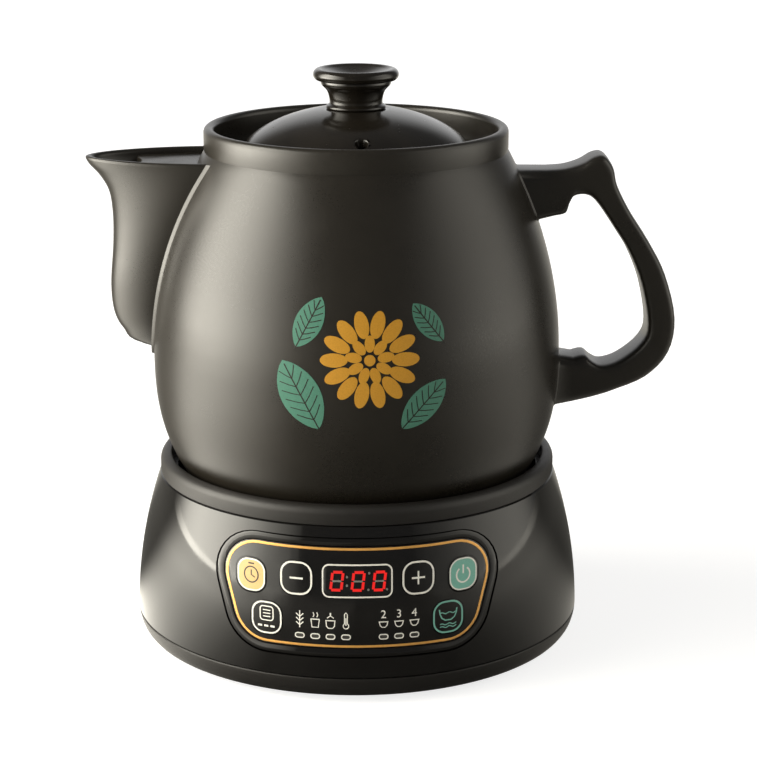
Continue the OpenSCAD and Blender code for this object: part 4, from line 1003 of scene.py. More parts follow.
class HERB_OT_lid(Operator):
    """Turns the lid's dome and its knob, and drills the steam hole"""
    bl_idname = "herb_pot.lid"
    bl_label = "Lid"

    def execute(self, context):
        s = pot_sizes()
        z0 = STAND_Z + ledge_h()
        wall, skirt_h, flange = 4.5 * MM, 4 * MM, 3.6 * MM
        in_r = s.dome_r - wall
        centre = s.dome_h - s.dome_r
        skirt_r = 62.3 * MM
        lid_r = s.neck_r - 0.6 * MM - s.lip - 1.2 * MM
        seat_z = s.dome_h - 1.2 * MM
        under_r = min(math.sqrt(in_r ** 2 - (-skirt_h - centre) ** 2), skirt_r - 2.5 * MM)
        dome_foot = math.sqrt(s.dome_r ** 2 - (flange - centre) ** 2)
        seat_r = math.sqrt(s.dome_r ** 2 - (seat_z - centre) ** 2)

        def dome_z(r):
            """Height of the outside, between a sphere's cap and an ellipse that is fuller."""
            cap = centre + math.sqrt(s.dome_r ** 2 - r * r)
            full = flange + (s.dome_h - flange) * math.sqrt(max(1 - (r / dome_foot) ** 2, 0))
            return cap + (full - cap) * DOME_FULLNESS

        profile = [(0, in_r + centre)]
        profile += [(r, centre + math.sqrt(in_r ** 2 - r * r))
                    for r in spread(4 * MM, under_r, 36)]
        profile += [(skirt_r - 2.5 * MM, -skirt_h), (skirt_r - 0.5 * MM, -skirt_h),
                    (skirt_r, -skirt_h + 0.5 * MM), (skirt_r, 0), (lid_r - 0.8 * MM, 0)]
        profile += arc(lid_r - 0.8 * MM, 0.8 * MM, 0.8 * MM, -90, 0, 4)
        profile += arc(lid_r - 1.4 * MM, flange - 1.4 * MM, 1.4 * MM, 0, 90, 5)
        profile += [(dome_foot + 1.4 * MM, flange + 0.05 * MM),
                    (dome_foot + 0.4 * MM, flange + 0.35 * MM)]
        profile += [(r, min(dome_z(r), seat_z))
                    for r in spread(dome_foot - 0.3 * MM, seat_r, 56)] + [(0, seat_z)]
        dome = turned("lid", [(r, z0 + z) for r, z in profile], 160)
        hole_x, hole_y, hole_r = 2.5 * MM, -46 * MM, 3.1 * MM
        cut(dome, drum("steam_cutter", hole_r, z0 - 2 * MM, z0 + s.dome_h, hole_x, hole_y, 40))
        self.round_hole(dome, Vector((AXIS_X + hole_x, hole_y)), hole_r, z0 + 8 * MM)
        finished(dome, "lid", "lid_glaze", "lid_dome")

        neck, knob_z = 12.8 * MM, z0 + seat_z
        disc_z, bead = s.knob_h - 3.1 * MM, 2.9 * MM
        curve = [(neck + out * MM, up * MM)
                 for out, up in ((0.2, 2.6), (0.4, 5.5), (1.6, 9), (4.2, 11.9))]
        curve += [(s.knob_r - 3.8 * MM, disc_z - 2.4 * MM)]
        profile = [(0, -1.7 * MM), (5 * MM, -1.7 * MM), (5 * MM, 0), (neck + 1.2 * MM, 0)]
        profile += arc(neck + 1 * MM, 0.95 * MM, 0.95 * MM, -75, 75, 8)
        profile += smooth(curve, 7)
        profile += arc(s.knob_r - bead, disc_z, bead, -60, 115, 20)
        dish = s.knob_r - bead - 2.2 * MM
        profile += [(dish * (1 - t), disc_z + 2.1 * MM - 3.6 * MM * math.sin(math.pi / 2 * t))
                    for t in spread(0, 1, 16)]
        knob = turned("knob", [(r, knob_z + z) for r, z in profile], 96)
        finished(knob, "lid", "lid_glaze", "lid_knob", angle=50)
        return {"FINISHED"}

    @staticmethod
    def round_hole(dome, centre, radius, low):
        """Bevels the steam hole's upper edge."""
        only(dome)
        bpy.ops.object.mode_set(mode="EDIT")
        bpy.ops.mesh.select_mode(type="EDGE")
        bpy.ops.mesh.select_all(action="DESELECT")
        mesh = bmesh.from_edit_mesh(dome.data)
        for edge in mesh.edges:
            ends = [v.co for v in edge.verts]
            edge.select = all(abs((Vector(p[:2]) - centre).length - radius) < 0.02 * MM
                              and p.z > low for p in ends) and abs(ends[0].z - ends[1].z) < 2 * MM
        bmesh.update_edit_mesh(dome.data)
        bpy.ops.mesh.bevel(offset=0.6 * MM, segments=3)
        bpy.ops.mesh.select_mode(type="VERT")
        bpy.ops.object.mode_set(mode="OBJECT")


class HERB_OT_print(Operator):
    """Lays a flower and leaves of coloured glaze on the front of the pot"""
    bl_idname = "herb_pot.print"
    bl_label = "Print"

    def execute(self, context):
        # depths under the pot's surface: the colours stand proud of it, and the veins of them
        front, back, vein_front = -0.12 * MM, 0.1 * MM, -0.17 * MM
        # a round flower of two rows of petals
        flower_x, flower_h = 6 * MM, 112 * MM
        petals = []
        for count, reach, half_l, half_w, start in ((14, 16.6, 6.4, 3.3, 0),
                                                    (9, 7.6, 3.9, 2.35, 10)):
            for k in range(count):
                turn = 360 * k / count + start
                a = math.radians(turn)
                petals.append(plate("petal", ellipse(
                    flower_x + reach * MM * math.cos(a), flower_h + reach * MM * math.sin(a),
                    half_l * MM, half_w * MM, turn, 24), back, front))
        petals.append(plate("heart", ellipse(flower_x, flower_h, 2.6 * MM, 2.6 * MM), back, front))
        flower = round_pot(joined("printed_flower", petals))
        finished(flower, "pot", "pot_ceramic", paint="print_ochre")
        # leaves around it, each with dark veins
        leaves, veins = [], []
        for x, h, half_l, half_w, turn in ((-26, 95, 18, 9.4, 118), (-22, 129, 13, 6.2, 62),
                                           (33, 128, 11.5, 5.2, 128), (31, 90, 15, 7, 48)):
            spin = Matrix.Rotation(math.radians(turn), 2)
            middle = Vector((x, h)) * MM

            def at(u, v, middle=middle, spin=spin, half_l=half_l, half_w=half_w):
                return tuple(middle + spin @ Vector((u * half_l, v * half_w)) * MM)

            edge = spread(-1, 1, 20)
            outline = [at(u, (1 - u * u) ** 0.8) for u in edge]
            outline += [at(u, -(1 - u * u) ** 0.8) for u in reversed(edge[1:-1])]
            leaves.append(plate("leaf", outline, back, front))
            veins.append(stroke("vein", [at(u, 0) for u in spread(-1.12, 0.9, 12)], 0.55 * MM,
                                back, vein_front))
            for u in spread(-0.72, 0.48, 5):
                for side in (-1, 1):
                    tip = 0.78 * (1 - (u + 0.26) ** 2) ** 0.8
                    path = [at(u, 0), at(u + 0.12, side * tip * 0.45), at(u + 0.3, side * tip)]
                    veins.append(stroke("vein", path, 0.42 * MM, back, vein_front))
        for name, pieces, paint in (("printed_leaves", leaves, "print_teal"),
                                    ("printed_veins", veins, "print_dark")):
            finished(round_pot(joined(name, pieces)), "pot", "pot_ceramic", paint=paint)
        return {"FINISHED"}


class HERB_OT_housing(Operator):
    """Turns the base's ring, shell and bottom cover, and cuts their openings"""
    bl_idname = "herb_pot.housing"
    bl_label = "Housing"

    def execute(self, context):
        s = base_sizes()
        ring_z, ring_top = s.top_z + 0.2 * MM, s.top_z + s.ring_h
        ring_in, out = s.top_r - s.ring_w, s.top_r - 0.1 * MM
        well_top = s.top_z + 1.5 * MM
        profile = [(out - 0.5 * MM, ring_z)]
        profile += arc(out - 0.5 * MM, ring_z + 0.5 * MM, 0.5 * MM, -60, 0, 3)
        profile += arc(out - 4 * MM, ring_top - 4 * MM, 4 * MM, 0, 90, 14)
        profile += arc(ring_in + 1.2 * MM, ring_top - 1.2 * MM, 1.2 * MM, 90, 180, 6)
        profile += [(ring_in, well_top + 0.2 * MM), (out - 2.6 * MM, well_top + 0.2 * MM),
                    (out - 2.6 * MM, ring_z), (out - 0.5 * MM, ring_z)]
        finished(turned("rim_ring_skin", profile, 160), "base", "base_matte", "rim_ring")

        wall = 2.5 * MM
        levels = spread(s.bottom_z + 0.9 * MM, s.top_z - 0.5 * MM, 54)
        low, high = s.bottom_z + 0.4 * MM, s.top_z
        profile = [(shell_r(low) - wall, low), (shell_r(low) - 0.5 * MM, low)]
        profile += [(shell_r(z), z) for z in levels]
        profile += [(shell_r(high) - 0.5 * MM, high), (s.top_r - 7 * MM, high),
                    (s.top_r - 7 * MM, high - 2.6 * MM), (shell_r(high) - wall, high - 2.6 * MM)]
        profile += [(shell_r(z) - wall, z) for z in spread(high - 4 * MM, low, 18)]
        shell = turned("shell", profile, 192)
        # the panel's opening is cut from before the shell's front to well behind it
        opening = panel_outline(s.bezel_w + 0.4 * MM)
        before, behind = -0.125, -0.055
        cut(shell, lofted("opening_cutter", [[Vector((AXIS_X + x, y, z)) for x, z in opening]
                                             for y in (before, behind)]))
        low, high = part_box("power_inlet")
        gap = Vector((0.15, 0, 0.15)) * MM
        cut(shell, block("inlet_cutter", low - gap - Vector((AXIS_X, 0, 0)),
                         high + gap + Vector((-AXIS_X, 0.02, 0))))
        finished(shell, "base", "base_gloss", "base_shell")

        r, foot = s.bottom_r, 3 * MM
        floor = foot + 2.5 * MM
        lip = r - 2.9 * MM
        side = smooth([(r - 6 * MM, foot), (r - 3.8 * MM, foot + 1 * MM),
                       (r - 1.6 * MM, foot + 4 * MM), (r - 0.4 * MM, s.bottom_z - 2.6 * MM),
                       (r - 0.1 * MM, s.bottom_z - 0.4 * MM)], 5)
        profile = [(0, foot), (50 * MM, foot)] + side + [(r - 0.5 * MM, s.bottom_z)]
        profile += [(lip, s.bottom_z), (lip, s.bottom_z + 3.5 * MM),
                    (lip - 2 * MM, s.bottom_z + 3.5 * MM), (lip - 2 * MM, floor + 4 * MM),
                    (lip - 5 * MM, floor), (0, floor)]
        cover = turned("cover", profile, 160)
        heads, shanks = [], []
        screws = r - wall - 7.5 * MM
        for a in (20, 160, 200, 340):
            x, y = screws * math.cos(math.radians(a)), screws * math.sin(math.radians(a))
            heads.append(drum("head", 3.8 * MM, 0, foot + 2 * MM, x, y))
            shanks.append(drum("shank", 1.9 * MM, 0, 20 * MM, x, y))
        vents = [swung(block("vent", (48 * MM, -1.5 * MM, 0), (68 * MM, 1.5 * MM, 12 * MM)),
                       30 * i + 15) for i in range(12)]
        # heads and shanks overlap, so they are taken out one after another
        cut(cover, joined("cutters", heads + vents))
        cut(cover, joined("cutters", shanks))
        finished(cover, "base", "base_matte", "bottom_cover")
        return {"FINISHED"}


# Angle and half width, in mm, of each rib or lug that keeps the pot in the middle
LUGS = ((192, 1.6), (209, 4), (331, 4), (348, 1.6))


class HERB_OT_well(Operator):
    """Turns the well, the heating plate and the sensor's cap, and winds its spring"""
    bl_idname = "herb_pot.well"
    bl_label = "Well and plate"

    def execute(self, context):
        s = base_sizes()
        p = pot_sizes()

        def well_r(z):
            return max(p.foot_r + 9.8 * MM, pot_r(z - STAND_Z) + 4.5 * MM)

        floor, top = STAND_Z - 4.8 * MM, s.top_z + 1.5 * MM
        hole = 55.1 * MM
        levels = spread(STAND_Z + 4 * MM, s.top_z, 30)
        profile = [(hole, floor), (well_r(STAND_Z) - 1 * MM, floor), (well_r(STAND_Z), floor + MM)]
        profile += [(well_r(z), z) for z in levels]
        profile += [(well_r(s.top_z) + 0.6 * MM, top), (s.top_r - 3.4 * MM, top),
                    (s.top_r - 3.4 * MM, s.top_z)]
        profile += [(well_r(z) + 1.5 * MM, z) for z in reversed(levels)]
        profile += [(well_r(STAND_Z) + 1.5 * MM, floor - 1.5 * MM), (hole, floor - 1.5 * MM),
                    (hole, floor)]
        well = turned("well", profile, 128)
        # the lugs stand on the wall, just under the ring
        lugs = []
        for angle, half_w in LUGS:
            lug = block("lug", (well_r(s.top_z) - 2.8 * MM, -half_w * MM, s.top_z - 9 * MM),
                        (well_r(s.top_z) + 0.9 * MM, half_w * MM, s.top_z - 0.8 * MM))
            lugs.append(applied(swung(lug, angle), "BEVEL", width=0.8 * MM, segments=3))
        finished(joined("well", [well] + lugs), "base", "well_enamel", "well_liner")

        # the plate: a rim over a narrower hub, with a ring pressed into its top
        outer, hub, bore, rounding = 59 * MM, 54.5 * MM, 9.4 * MM, 0.8 * MM
        under, rim_under, groove = STAND_Z - 8 * MM, STAND_Z - 3.8 * MM, STAND_Z - 0.4 * MM
        profile = [(bore, under), (hub, under), (hub, rim_under), (outer, rim_under)]
        profile += arc(outer - rounding, STAND_Z - rounding, rounding, 0, 90, 5)
        profile += [(46 * MM, STAND_Z), (45.6 * MM, groove), (44.4 * MM, groove),
                    (44 * MM, STAND_Z), (bore + 0.5 * MM, STAND_Z), (bore, STAND_Z - 0.5 * MM),
                    (bore, under)]
        finished(turned("hot_plate", profile, 128), "base", "plate_metal", "heater_plate")

        low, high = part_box("sensor_cap")
        r = 9.1 * MM
        profile = [(0, high.z - 1.2 * MM), (r - MM, high.z - 1.2 * MM), (r - MM, low.z),
                   (r + 1.4 * MM, low.z), (r + 1.4 * MM, low.z + 1.4 * MM), (r, low.z + 1.4 * MM)]
        profile += arc(r - 1.1 * MM, high.z - 1.1 * MM, 1.1 * MM, 0, 90, 6)
        profile += [(5 * MM, high.z), (4.6 * MM, high.z - 0.25 * MM), (0, high.z - 0.25 * MM)]
        finished(turned("sensor_button", profile, 64), "sensor", "bright_steel", "sensor_cap")

        # its spring stands in the holder
        low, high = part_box("sensor_spring")
        wire, turns, per_turn = 0.6 * MM, 5, 20
        coil_r = (high.x - low.x) / 2 - wire
        rings = []
        for i in range(turns * per_turn + 1):
            a = math.tau * i / per_turn
            out = Vector((math.cos(a), math.sin(a), 0))
            rise = (high.z - low.z - 2 * wire) * i / (turns * per_turn)
            middle = Vector((AXIS_X, 0, low.z + wire + rise)) + out * coil_r
            rings.append([middle + out * wire * math.cos(b) + Vector((0, 0, wire * math.sin(b)))
                          for b in (math.tau * k / 8 for k in range(8))])
        spring = finished(lofted("spring", rings), "base", "bright_steel", "sensor_spring",
                          angle=50)
        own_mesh(spring)
        return {"FINISHED"}


def framed(name, section, ends="join"):
    """A band that follows the panel's outline; its section is in mm, as (growth, depth)."""
    return lofted(name, [flat(panel_outline(g * MM), d * MM) for g, d in section], ends)


class HERB_OT_panel(Operator):
    """Models the bezel, the panel's film and the gold line"""
    bl_idname = "herb_pot.panel"
    bl_label = "Panel"

    def execute(self, context):
        s = base_sizes()
        section = ((3.9, 4.0), (3.9, 0.95), (3.75, 0.62), (3.35, 0.45), (2.2, 0.5), (1.0, 0.75),
                   (0.4, 0.95), (0.15, 1.3), (0.15, 3.0), (1.5, 4.0))
        finished(on_shell(framed("bezel", section)), "base", "base_gloss", "panel_bezel")

        film = framed("panel_film", ((-0.05, 2.0), (-0.05, 0.15), (-0.2, 0.0)), "fill")
        holes = [key_outline(place, 0.25 * MM) for place in KEY_PLACES]
        holes += [rounded_box(3.5 * MM, 1.6 * MM, 0.75 * MM, x * MM, LIGHT_Z) for x in LIGHT_XS]
        holes.append(rounded_box(31.6 * MM, 13.8 * MM, 2.5 * MM, 0, WINDOW_Z))
        cutters = [lofted("hole_cutter", [flat(h, -1 * MM), flat(h, 3 * MM)]) for h in holes]
        cut(film, joined("hole_cutters", cutters))
        divided(film, [x * MM for x in range(-68, 69, 4)], [z * MM for z in range(32, 76, 5)])
        finished(on_shell(film, s.panel_d), "base", "panel_gloss", "control_panel")

        section = ((-0.65, 0.3), (-0.65, -0.04), (-0.8, -0.09), (-1.6, -0.09), (-1.75, -0.04),
                   (-1.75, 0.3))
        finished(on_shell(framed("gold_line", section), s.panel_d), "base", "gold_line",
                 "gold_trim")
        return {"FINISHED"}


class HERB_OT_keys(Operator):
    """Models the six keys, each with its flange and its stem"""
    bl_idname = "herb_pot.keys"
    bl_label = "Keys"

    def execute(self, context):
        s = base_sizes()
        for name, place in zip(KEYS, KEY_PLACES):
            body = key_outline(place, 0)
            flange = key_outline(place, 0.8 * MM)
            rings = [flat(scaled(flange, share), 3.15 * MM) for share in reversed(SHRINK)]
            rings += [flat(flange, 3.15 * MM), flat(flange, 2.15 * MM), flat(body, 2.15 * MM),
                      flat(body, 0.16 * MM), flat(key_outline(place, -0.06 * MM), 0.05 * MM),
                      flat(key_outline(place, -0.18 * MM), 0.0)]
            rings += [flat(scaled(body, share), 0.0) for share in (0.92,) + SHRINK]
            cap = on_shell(lofted(name + "_cap", rings), s.panel_d)
            x, z = place[0] * MM, place[1] * MM
            start = -math.sqrt((shell_r(z) - s.panel_d - 2.65 * MM) ** 2 - x * x)
            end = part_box(name)[1].y
            stem = rod("stem", 2.2 * MM, end - start, (AXIS_X + x, (start + end) / 2, z),
                       (90, 0, 0))
            finished(joined(name + "_cap", [cap, stem]), name, "key_film", name)
        return {"FINISHED"}


class HERB_OT_marks(Operator):
    """Prints the plain marks on the keys and the panel"""
    bl_idname = "herb_pot.marks"
    bl_label = "Marks"

    def execute(self, context):
        s = base_sizes()
        back = 0.05 * MM

        def mark(name, body, paint, pieces):
            obj = on_shell(joined(name, pieces), s.panel_d)
            finished(obj, body, "panel_gloss" if body == "base" else "key_film", paint=paint)

        def line(points, width, closed=False, lift=1.0):
            """A line through points in mm; lift raises it over a print under it."""
            points = [(x * MM, z * MM) for x, z in points]
            return stroke("line", points, width * MM, back, -lift * PRINT, closed)

        def loop(outline, width):
            return line([(x / MM, z / MM) for x, z in outline], width, True)

        def ring(place, grow, width):
            return stroke("ring", key_outline(place, grow * MM), width * MM, back, -PRINT, True)

        timer, minus, plus, start, mode, water = KEY_PLACES
        for key, place, tint in (("timer_key", timer, "sand"), ("start_key", start, "mint")):
            fill = plate("fill", key_outline(place, -1.1 * MM), back, -0.7 * PRINT)
            mark(key + "_fill", key, "print_" + tint, [fill])
            mark(key + "_ring", key, "print_pale", [ring(place, -0.95, 0.65)])
        # clock on the timer key, with its bell on top
        x, z = timer
        dial = [(x + 3.3 * math.cos(a), z + 0.1 + 3.6 * math.sin(a))
                for a in (math.tau * i / 28 for i in range(28))]
        mark("timer_key_icon", "timer_key", "print_dark", [
            line(dial, 0.6, True, 1.4),
            line([(x, z + 2.3), (x, z), (x + 1.7, z - 1)], 0.6, lift=1.5),
            line([(x - 1.4, z + 5.2), (x + 1.4, z + 5.2)], 0.7, lift=1.4)])
        # power mark on the start key
        x, z = start
        bow = [(x + 3.2 * math.cos(a), z - 0.3 + 3.5 * math.sin(a))
               for a in (math.radians(125 + 290 * i / 26) for i in range(27))]
        mark("start_key_icon", "start_key", "print_pale", [
            line(bow, 0.75, lift=1.4), line([(x, z + 4.2), (x, z + 0.2)], 0.75, lift=1.4)])
        for key, place in (("minus_key", minus), ("plus_key", plus)):
            x, z = place
            bars = [line([(x - 3.1, z), (x, z), (x + 3.1, z)], 0.85)]
            if place is plus:
                bars += [line([(x, z + low), (x, z + high)], 0.75)
                         for low, high in ((-3.1, -0.38), (0.38, 3.1))]
            mark(key + "_marks", key, "print_pale", bars + [ring(place, -0.75, 0.85)])
        # list on the mode key
        x, z = mode
        lines = [loop(rounded_box(6.2 * MM, 6.6 * MM, 1.4 * MM, x * MM, (z + 2) * MM), 0.5)]
        lines += [line([(x - 1.7, z + 2 + k), (x + 1.8, z + 2 + k)], 0.45) for k in (-1.5, 0, 1.5)]
        lines += [line([(x - 4.2 + 3 * k, z - 4), (x - 2.2 + 3 * k, z - 4)], 0.9) for k in range(3)]
        mark("mode_key_marks", "mode_key", "print_pale", lines + [ring(mode, -0.75, 0.75)])
        # bowl with water on the water key
        x, z = water
        bowl = [(x - 4.2, z + 3.8), (x - 3.9, z + 1.6), (x - 3.0, z - 0.4), (x - 1.4, z - 1.5),
                (x + 1.4, z - 1.5), (x + 3.0, z - 0.4), (x + 3.9, z + 1.6), (x + 4.2, z + 3.8)]
        ripples = [line([(x - 3.9 + 0.6 * i, z + rise + 0.35 * math.sin(i * 1.05))
                         for i in range(14)], 0.45) for rise in (1.9, -3.4, -4.7)]
        mark("water_key_icon", "water_key", "print_mint",
             [line(bowl, 0.6)] + ripples + [ring(water, -0.75, 0.8)])

        # the panel's own marks: plain numbers and small signs over the lights
        signs = [loop(rounded_box(32.6 * MM, 14.8 * MM, 3 * MM, 0, WINDOW_Z, 6, 14), 0.7)]
        signs += [loop(rounded_box(4.1 * MM, 2.2 * MM, 1.05 * MM, x * MM, LIGHT_Z), 0.5)
                  for x in LIGHT_XS]
        leaf, cup, pot, drop = LIGHT_XS[:4]
        signs += [line([(leaf, 37.6), (leaf, 45.6)], 0.45)]
        signs += [line([(leaf, z), (leaf + side * 1.7, z + 1.5)], 0.45)
                  for z in (38.8, 40.8, 42.8) for side in (-1, 1)]
        signs += [line([(cup - 2, 42), (cup - 1.5, 38.2), (cup + 1.5, 38.2), (cup + 2, 42)], 0.45),
                  line([(cup - 2.1, 42), (cup + 2.1, 42)], 0.45)]
        signs += [line([(cup + k, 43), (cup + k + 0.5, 44), (cup + k, 45.2)], 0.4)
                  for k in (-1, 0.8)]
        signs += [line([(pot - 2.1, 41.6), (pot - 1.9, 39), (pot - 1, 38), (pot + 1, 38),
                        (pot + 1.9, 39), (pot + 2.1, 41.6)], 0.45),
                  line([(pot - 2.4, 41.6), (pot + 2.4, 41.6)], 0.45),
                  line([(pot - 1.6, 42.8), (pot, 43.9), (pot + 1.6, 42.8)], 0.45),
                  line([(pot, 44.1), (pot, 45.3)], 0.7)]
        signs += [line(arc(drop, 39.2, 1.3, 120, 420, 12), 0.45),
                  line([(drop - 0.65, 40.3), (drop - 0.65, 44.8), (drop, 45.5),
                        (drop + 0.65, 44.8), (drop + 0.65, 40.3)], 0.45),
                  line([(drop, 39.4), (drop, 43)], 0.5)]
        for x in LIGHT_XS[4:]:
            signs += [line([(x - 2, 41), (x - 1.6, 39.3), (x - 0.7, 38.4), (x + 0.7, 38.4),
                            (x + 1.6, 39.3), (x + 2, 41)], 0.45),
                      line([(x - 2.3, 41), (x + 2.3, 41)], 0.45)]
        mark("panel_signs", "base", "print_pale", signs)
        for number, x in zip("234", LIGHT_XS[4:]):
            mark("number_" + number, "base", "print_pale",
                 [self.number(number, x * MM, 44.4 * MM, back)])
        return {"FINISHED"}

    @staticmethod
    def number(text, x, z, back):
        """A plain number, made a flat solid in the panel's drawing."""
        deselect()
        bpy.ops.object.text_add()
        obj = bpy.context.object
        obj.data.body = text
        obj.data.size = 5.4 * MM
        obj.data.align_x, obj.data.align_y = "CENTER", "CENTER"
        obj.data.extrude = (back + PRINT) / 2
        bpy.ops.object.convert(target="MESH")
        obj = bpy.context.object
        obj.rotation_euler = (math.radians(90), 0, 0)
        obj.location = (x, (back - PRINT) / 2, z)
        return place_in_mesh(obj)


class HERB_OT_display(Operator):
    """Models the display's window, its digits and the seven lights"""
    bl_idname = "herb_pot.display"
    bl_label = "Display and lights"

    def execute(self, context):
        s = base_sizes()
        window = plate("window", rounded_box(31.4 * MM, 13.6 * MM, 2.4 * MM, 0, WINDOW_Z, 6, 8),
                       1.8 * MM, 0, 0.1 * MM)
        finished(on_shell(window, s.panel_d), "base", "window_smoke", "display_window")
        # three slanted digits of seven segments; the middle one of each is dark
        lit, unlit = [], []
        half_w, half_h, gap, slant = 2.5, 4.1, 0.35, 0.12
        thick, thin, back = 1.25 * MM, 0.8 * MM, 0.02 * MM
        for middle in (-9.6, 0.4, 10.4):
            def at(u, v, middle=middle):
                return ((middle + u + slant * v) * MM, WINDOW_Z + v * MM)

            posts = [(-half_w, gap, half_h - gap), (half_w, gap, half_h - gap),
                     (-half_w, gap - half_h, -gap), (half_w, gap - half_h, -gap)]
            bars = [(half_h, lit), (-half_h, lit), (0, unlit)]
            for u, low, high in posts:
                lit.append(stroke("segment", [at(u, low), at(u, (low + high) / 2), at(u, high)],
                                  thick, back, -PRINT))
            for v, group in bars:
                path = [at(-half_w + gap, v), at(0, v), at(half_w - gap, v)]
                group.append(stroke("segment", path, thick if group is lit else thin, back,
                                    -PRINT))
        dot_r = 0.55 * MM
        for x, z in ((-4.9, 2), (-4.9, -2), (5.2, -3.9), (5.6, 3.7), (14, -3.9)):
            unlit.append(plate("dot", ellipse(x * MM, WINDOW_Z + z * MM, dot_r, dot_r, 0, 16),
                               back, -PRINT))
        for name, pieces, paint in (("lit_digits", lit, "lit_segment"),
                                    ("unlit_marks", unlit, "unlit_segment")):
            finished(on_shell(joined(name, pieces), s.panel_d), "base", "window_smoke",
                     paint=paint)
        lenses = [plate("lens", rounded_box(3.4 * MM, 1.5 * MM, 0.7 * MM, x * MM, LIGHT_Z),
                        3 * MM, 0.1 * MM, 0.15 * MM) for x in LIGHT_XS]
        finished(on_shell(joined("lamp_lenses", lenses), s.panel_d), "base", "light_lens",
                 "indicator_lights")
        return {"FINISHED"}


LIGHT_TINT = (1.0, 0.955, 0.84)
# Side (-1 left, 1 right) and radiance of each soft light
LIGHTS = {"key_light": (-1, 11.3), "side_light": (1, 1.7)}
# The lights stand this far to the side; they reach back past the pot, and this far in all
LIGHT_AWAY, LIGHT_BACK, LIGHT_WIDTH = 1.3, 0.75, 2.95
# Level of a side light from its back edge to its front edge
LIGHT_FADE = [(0.0, 0.0), (0.07, 0.1), (0.15, 0.7), (0.24, 1.05), (0.32, 1.0), (0.4, 0.88),
              (0.5, 0.6), (0.64, 0.25), (0.84, 0.1), (1.0, 0.02)]
# Level of the room in front, and of the painted reflection of the lights that the paper glows with
# in glossy rays
ROOM_LEVEL, PAINTED_REFLECTION_LEVEL = 0.14, 0.54
# How far back a way must point to meet the white behind the pot, from none of it to all
WHITE_FROM = (0.74, 0.95)
FLOOR_SIZE = 14
# The camera: its place in front of the axis and over the floor, its turn in degrees, and its
# lens and sensor in mm
CAMERA_PLACE, CAMERA_TURN = (-1.100, 0.433), (74.59, 0, -0.573)
FOCAL_LENGTH, SENSOR_WIDTH = 107.2, 36


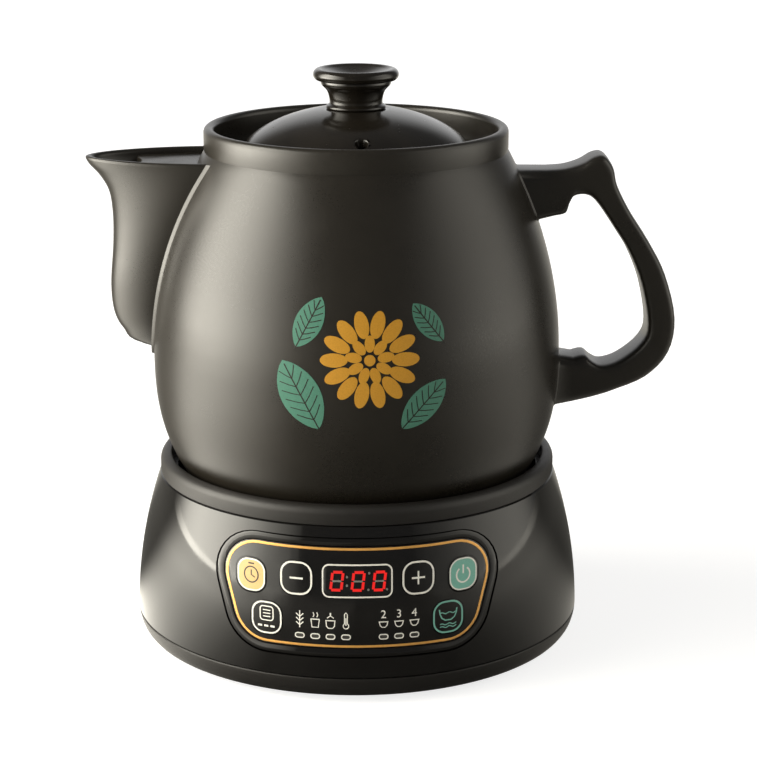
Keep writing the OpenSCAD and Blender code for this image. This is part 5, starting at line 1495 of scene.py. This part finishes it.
class HERB_OT_studio(Operator):
    """Sets the floor with its painted reflection of the lights, the soft lights, the white
    surroundings and the camera
    """
    bl_idname = "herb_pot.studio"
    bl_label = "Studio"

    def execute(self, context):
        deselect()
        bpy.ops.mesh.primitive_plane_add(size=FLOOR_SIZE)
        floor = bpy.context.object
        floor.name = "floor"
        pale = Finish("floor_paper", (0.5, 0.5, 0.5), roughness=0.9, specular_ior_level=0.0)
        pale.bumped(pale.noise(400, 2), 0.02 * MM, 0.3)
        # seen directly the paper is lifted to white, more so far from the pot; in reflections it
        # glows with a painted reflection: the tones that the lights and the surroundings have above
        # it
        distance = pale.round_axis()
        direct = pale.seen_by(("Is Camera Ray", "Is Transmission Ray"))
        glossy = pale.seen_by(("Is Glossy Ray",))
        # in glossy rays the paper's own colour is near black, so that its painted reflection stands
        # alone
        pale.set("Base Color", pale.mixed(glossy, pale.base, (0.02, 0.02, 0.02, 1)))
        across, along = pale.along("X") - AXIS_X, pale.along("Y")
        painted_reflection_tone = (along / distance).over(*WHITE_FROM) * (1 - ROOM_LEVEL) + ROOM_LEVEL
        # each soft light's painted reflection: its fade, laid out on the paper beside it
        for side, radiance in LIGHTS.values():
            reach = pale.maths("MAXIMUM", across * side, 0.001)
            share = (along / reach) * (-LIGHT_AWAY / LIGHT_WIDTH) + LIGHT_BACK / LIGHT_WIDTH
            painted_reflection_tone = painted_reflection_tone + pale.faded(share, LIGHT_FADE) * (across * side).over(0, 0.1) * (
                radiance * PAINTED_REFLECTION_LEVEL)

        def rising(low, high, near):
            """A level that is near at the pot and 1 far from it."""
            return distance.over(low, high) * (1 - near) + near

        # painted glow: white for the camera, and the painted reflection of the lights in glossy
        # rays
        painted_reflection_glow = pale.node("ShaderNodeEmission", {}, {
            "Color": pale.mixed(glossy, (1, 1, 1, 1), (*LIGHT_TINT, 1)),
            "Strength": direct * rising(0.15, 1.2, 0.78) + glossy * painted_reflection_tone * rising(0.1, 0.6, 0.52)})
        both = pale.node("ShaderNodeAddShader", {},
                         {0: Value(pale, pale.shader.outputs[0]), 1: painted_reflection_glow})
        pale.tree.links.new(both.socket, pale.tree.nodes["Material Output"].inputs["Surface"])
        floor.data.materials.append(pale.material)

        for name, (side, radiance) in LIGHTS.items():
            self.side_light(name, side, radiance)
        self.surroundings()

        lens = bpy.data.cameras.new("camera")
        camera = bpy.data.objects.new("camera", lens)
        bpy.context.scene.collection.objects.link(camera)
        lens.sensor_width = SENSOR_WIDTH
        lens.lens = FOCAL_LENGTH
        lens.clip_end = 50
        camera.location = (AXIS_X, *CAMERA_PLACE)
        camera.rotation_euler = Euler([math.radians(a) for a in CAMERA_TURN])
        bpy.context.scene.camera = camera
        bpy.context.scene.view_settings.view_transform = "Standard"
        return {"FINISHED"}

    @staticmethod
    def side_light(name, side, radiance):
        """A wide soft box beside the pot that fades towards the front; side is -1 or 1."""
        low, high = 0.02, 1.5
        width, height = LIGHT_WIDTH, high - low
        light = bpy.data.lights.new(name, "AREA")
        light.shape = "RECTANGLE"
        light.size, light.size_y = width, height
        light.energy = math.pi * width * height
        light.color = LIGHT_TINT
        lamp = bpy.data.objects.new(name, light)
        lamp.location = (AXIS_X + side * LIGHT_AWAY, LIGHT_BACK - width / 2, (low + high) / 2)
        lamp.rotation_euler = (math.radians(90), 0, side * math.radians(90))
        lamp.visible_camera = False
        bpy.context.scene.collection.objects.link(lamp)
        light.use_nodes = True
        tree = light.node_tree
        place = tree.nodes.new("ShaderNodeNewGeometry")
        parts = tree.nodes.new("ShaderNodeSeparateXYZ")
        tree.links.new(place.outputs["Parametric"], parts.inputs[0])
        beam = Nodes(tree)
        stops = LIGHT_FADE if side < 0 else [(1 - at, level) for at, level in LIGHT_FADE[::-1]]
        strength = beam.faded(Value(beam, parts.outputs["X"]), stops) * radiance
        tree.links.new(strength.socket, tree.nodes["Emission"].inputs["Strength"])

    @staticmethod
    def surroundings():
        """White behind the pot for the camera, metal and glass, and a dim room in front."""
        world = bpy.data.worlds.new("surroundings")
        bpy.context.scene.world = world
        world.use_nodes = True
        tree = world.node_tree
        room = Nodes(tree)
        seen = room.seen_by(("Is Camera Ray", "Is Transmission Ray"))
        glossy = room.seen_by(("Is Glossy Ray",))
        way = room.node("ShaderNodeTexCoord", output="Generated")
        behind = room.node("ShaderNodeSeparateXYZ", {}, {"Vector": way}, output="Y")
        level = ROOM_LEVEL + (behind.over(*WHITE_FROM) * (1 - ROOM_LEVEL)) * glossy
        level = room.maths("MAXIMUM", level, seen)
        tree.links.new(level.socket, tree.nodes["Background"].inputs["Strength"])
        tree.nodes["Background"].inputs["Color"].default_value = (1, 1, 1, 1)


class HERB_PT_pot(Panel):
    """Lists the pot's sizes, colours and steps"""
    bl_label = "Herb Pot"
    bl_idname = "HERB_PT_pot"
    bl_space_type = "VIEW_3D"
    bl_region_type = "UI"
    bl_category = "Herb Pot"

    def draw(self, context):
        scene = context.scene
        for title, group in (("Pot", scene.herb_pot_sizes), ("Base", scene.herb_base_sizes),
                             ("Colours", scene.herb_pot_colours)):
            box = self.layout.box()
            box.label(text=title)
            for name in group.bl_rna.properties.keys():
                if name not in {"rna_type", "name"}:
                    box.prop(group, name)
        for step in STEPS:
            self.layout.operator(step.bl_idname)


STEPS = (HERB_OT_finishes, HERB_OT_pot, HERB_OT_spout, HERB_OT_handle, HERB_OT_lid, HERB_OT_print,
         HERB_OT_housing, HERB_OT_well, HERB_OT_panel, HERB_OT_keys, HERB_OT_marks,
         HERB_OT_display, HERB_OT_studio)
GROUPS = (("herb_pot_sizes", HerbPotSizes), ("herb_base_sizes", HerbBaseSizes),
          ("herb_pot_colours", HerbPotColours))


def register():
    for cls in [group for name, group in GROUPS] + list(STEPS) + [HERB_PT_pot]:
        bpy.utils.register_class(cls)
    for name, group in GROUPS:
        setattr(bpy.types.Scene, name, PointerProperty(type=group))


def unregister():
    for name, group in GROUPS:
        delattr(bpy.types.Scene, name)
    for cls in [HERB_PT_pot] + list(reversed(STEPS)) + [group for name, group in GROUPS]:
        bpy.utils.unregister_class(cls)


def main():
    register()
    deselect()
    for step in STEPS:
        group, name = step.bl_idname.split(".")
        getattr(getattr(bpy.ops, group), name)()


if __name__ == "__main__":
    main()
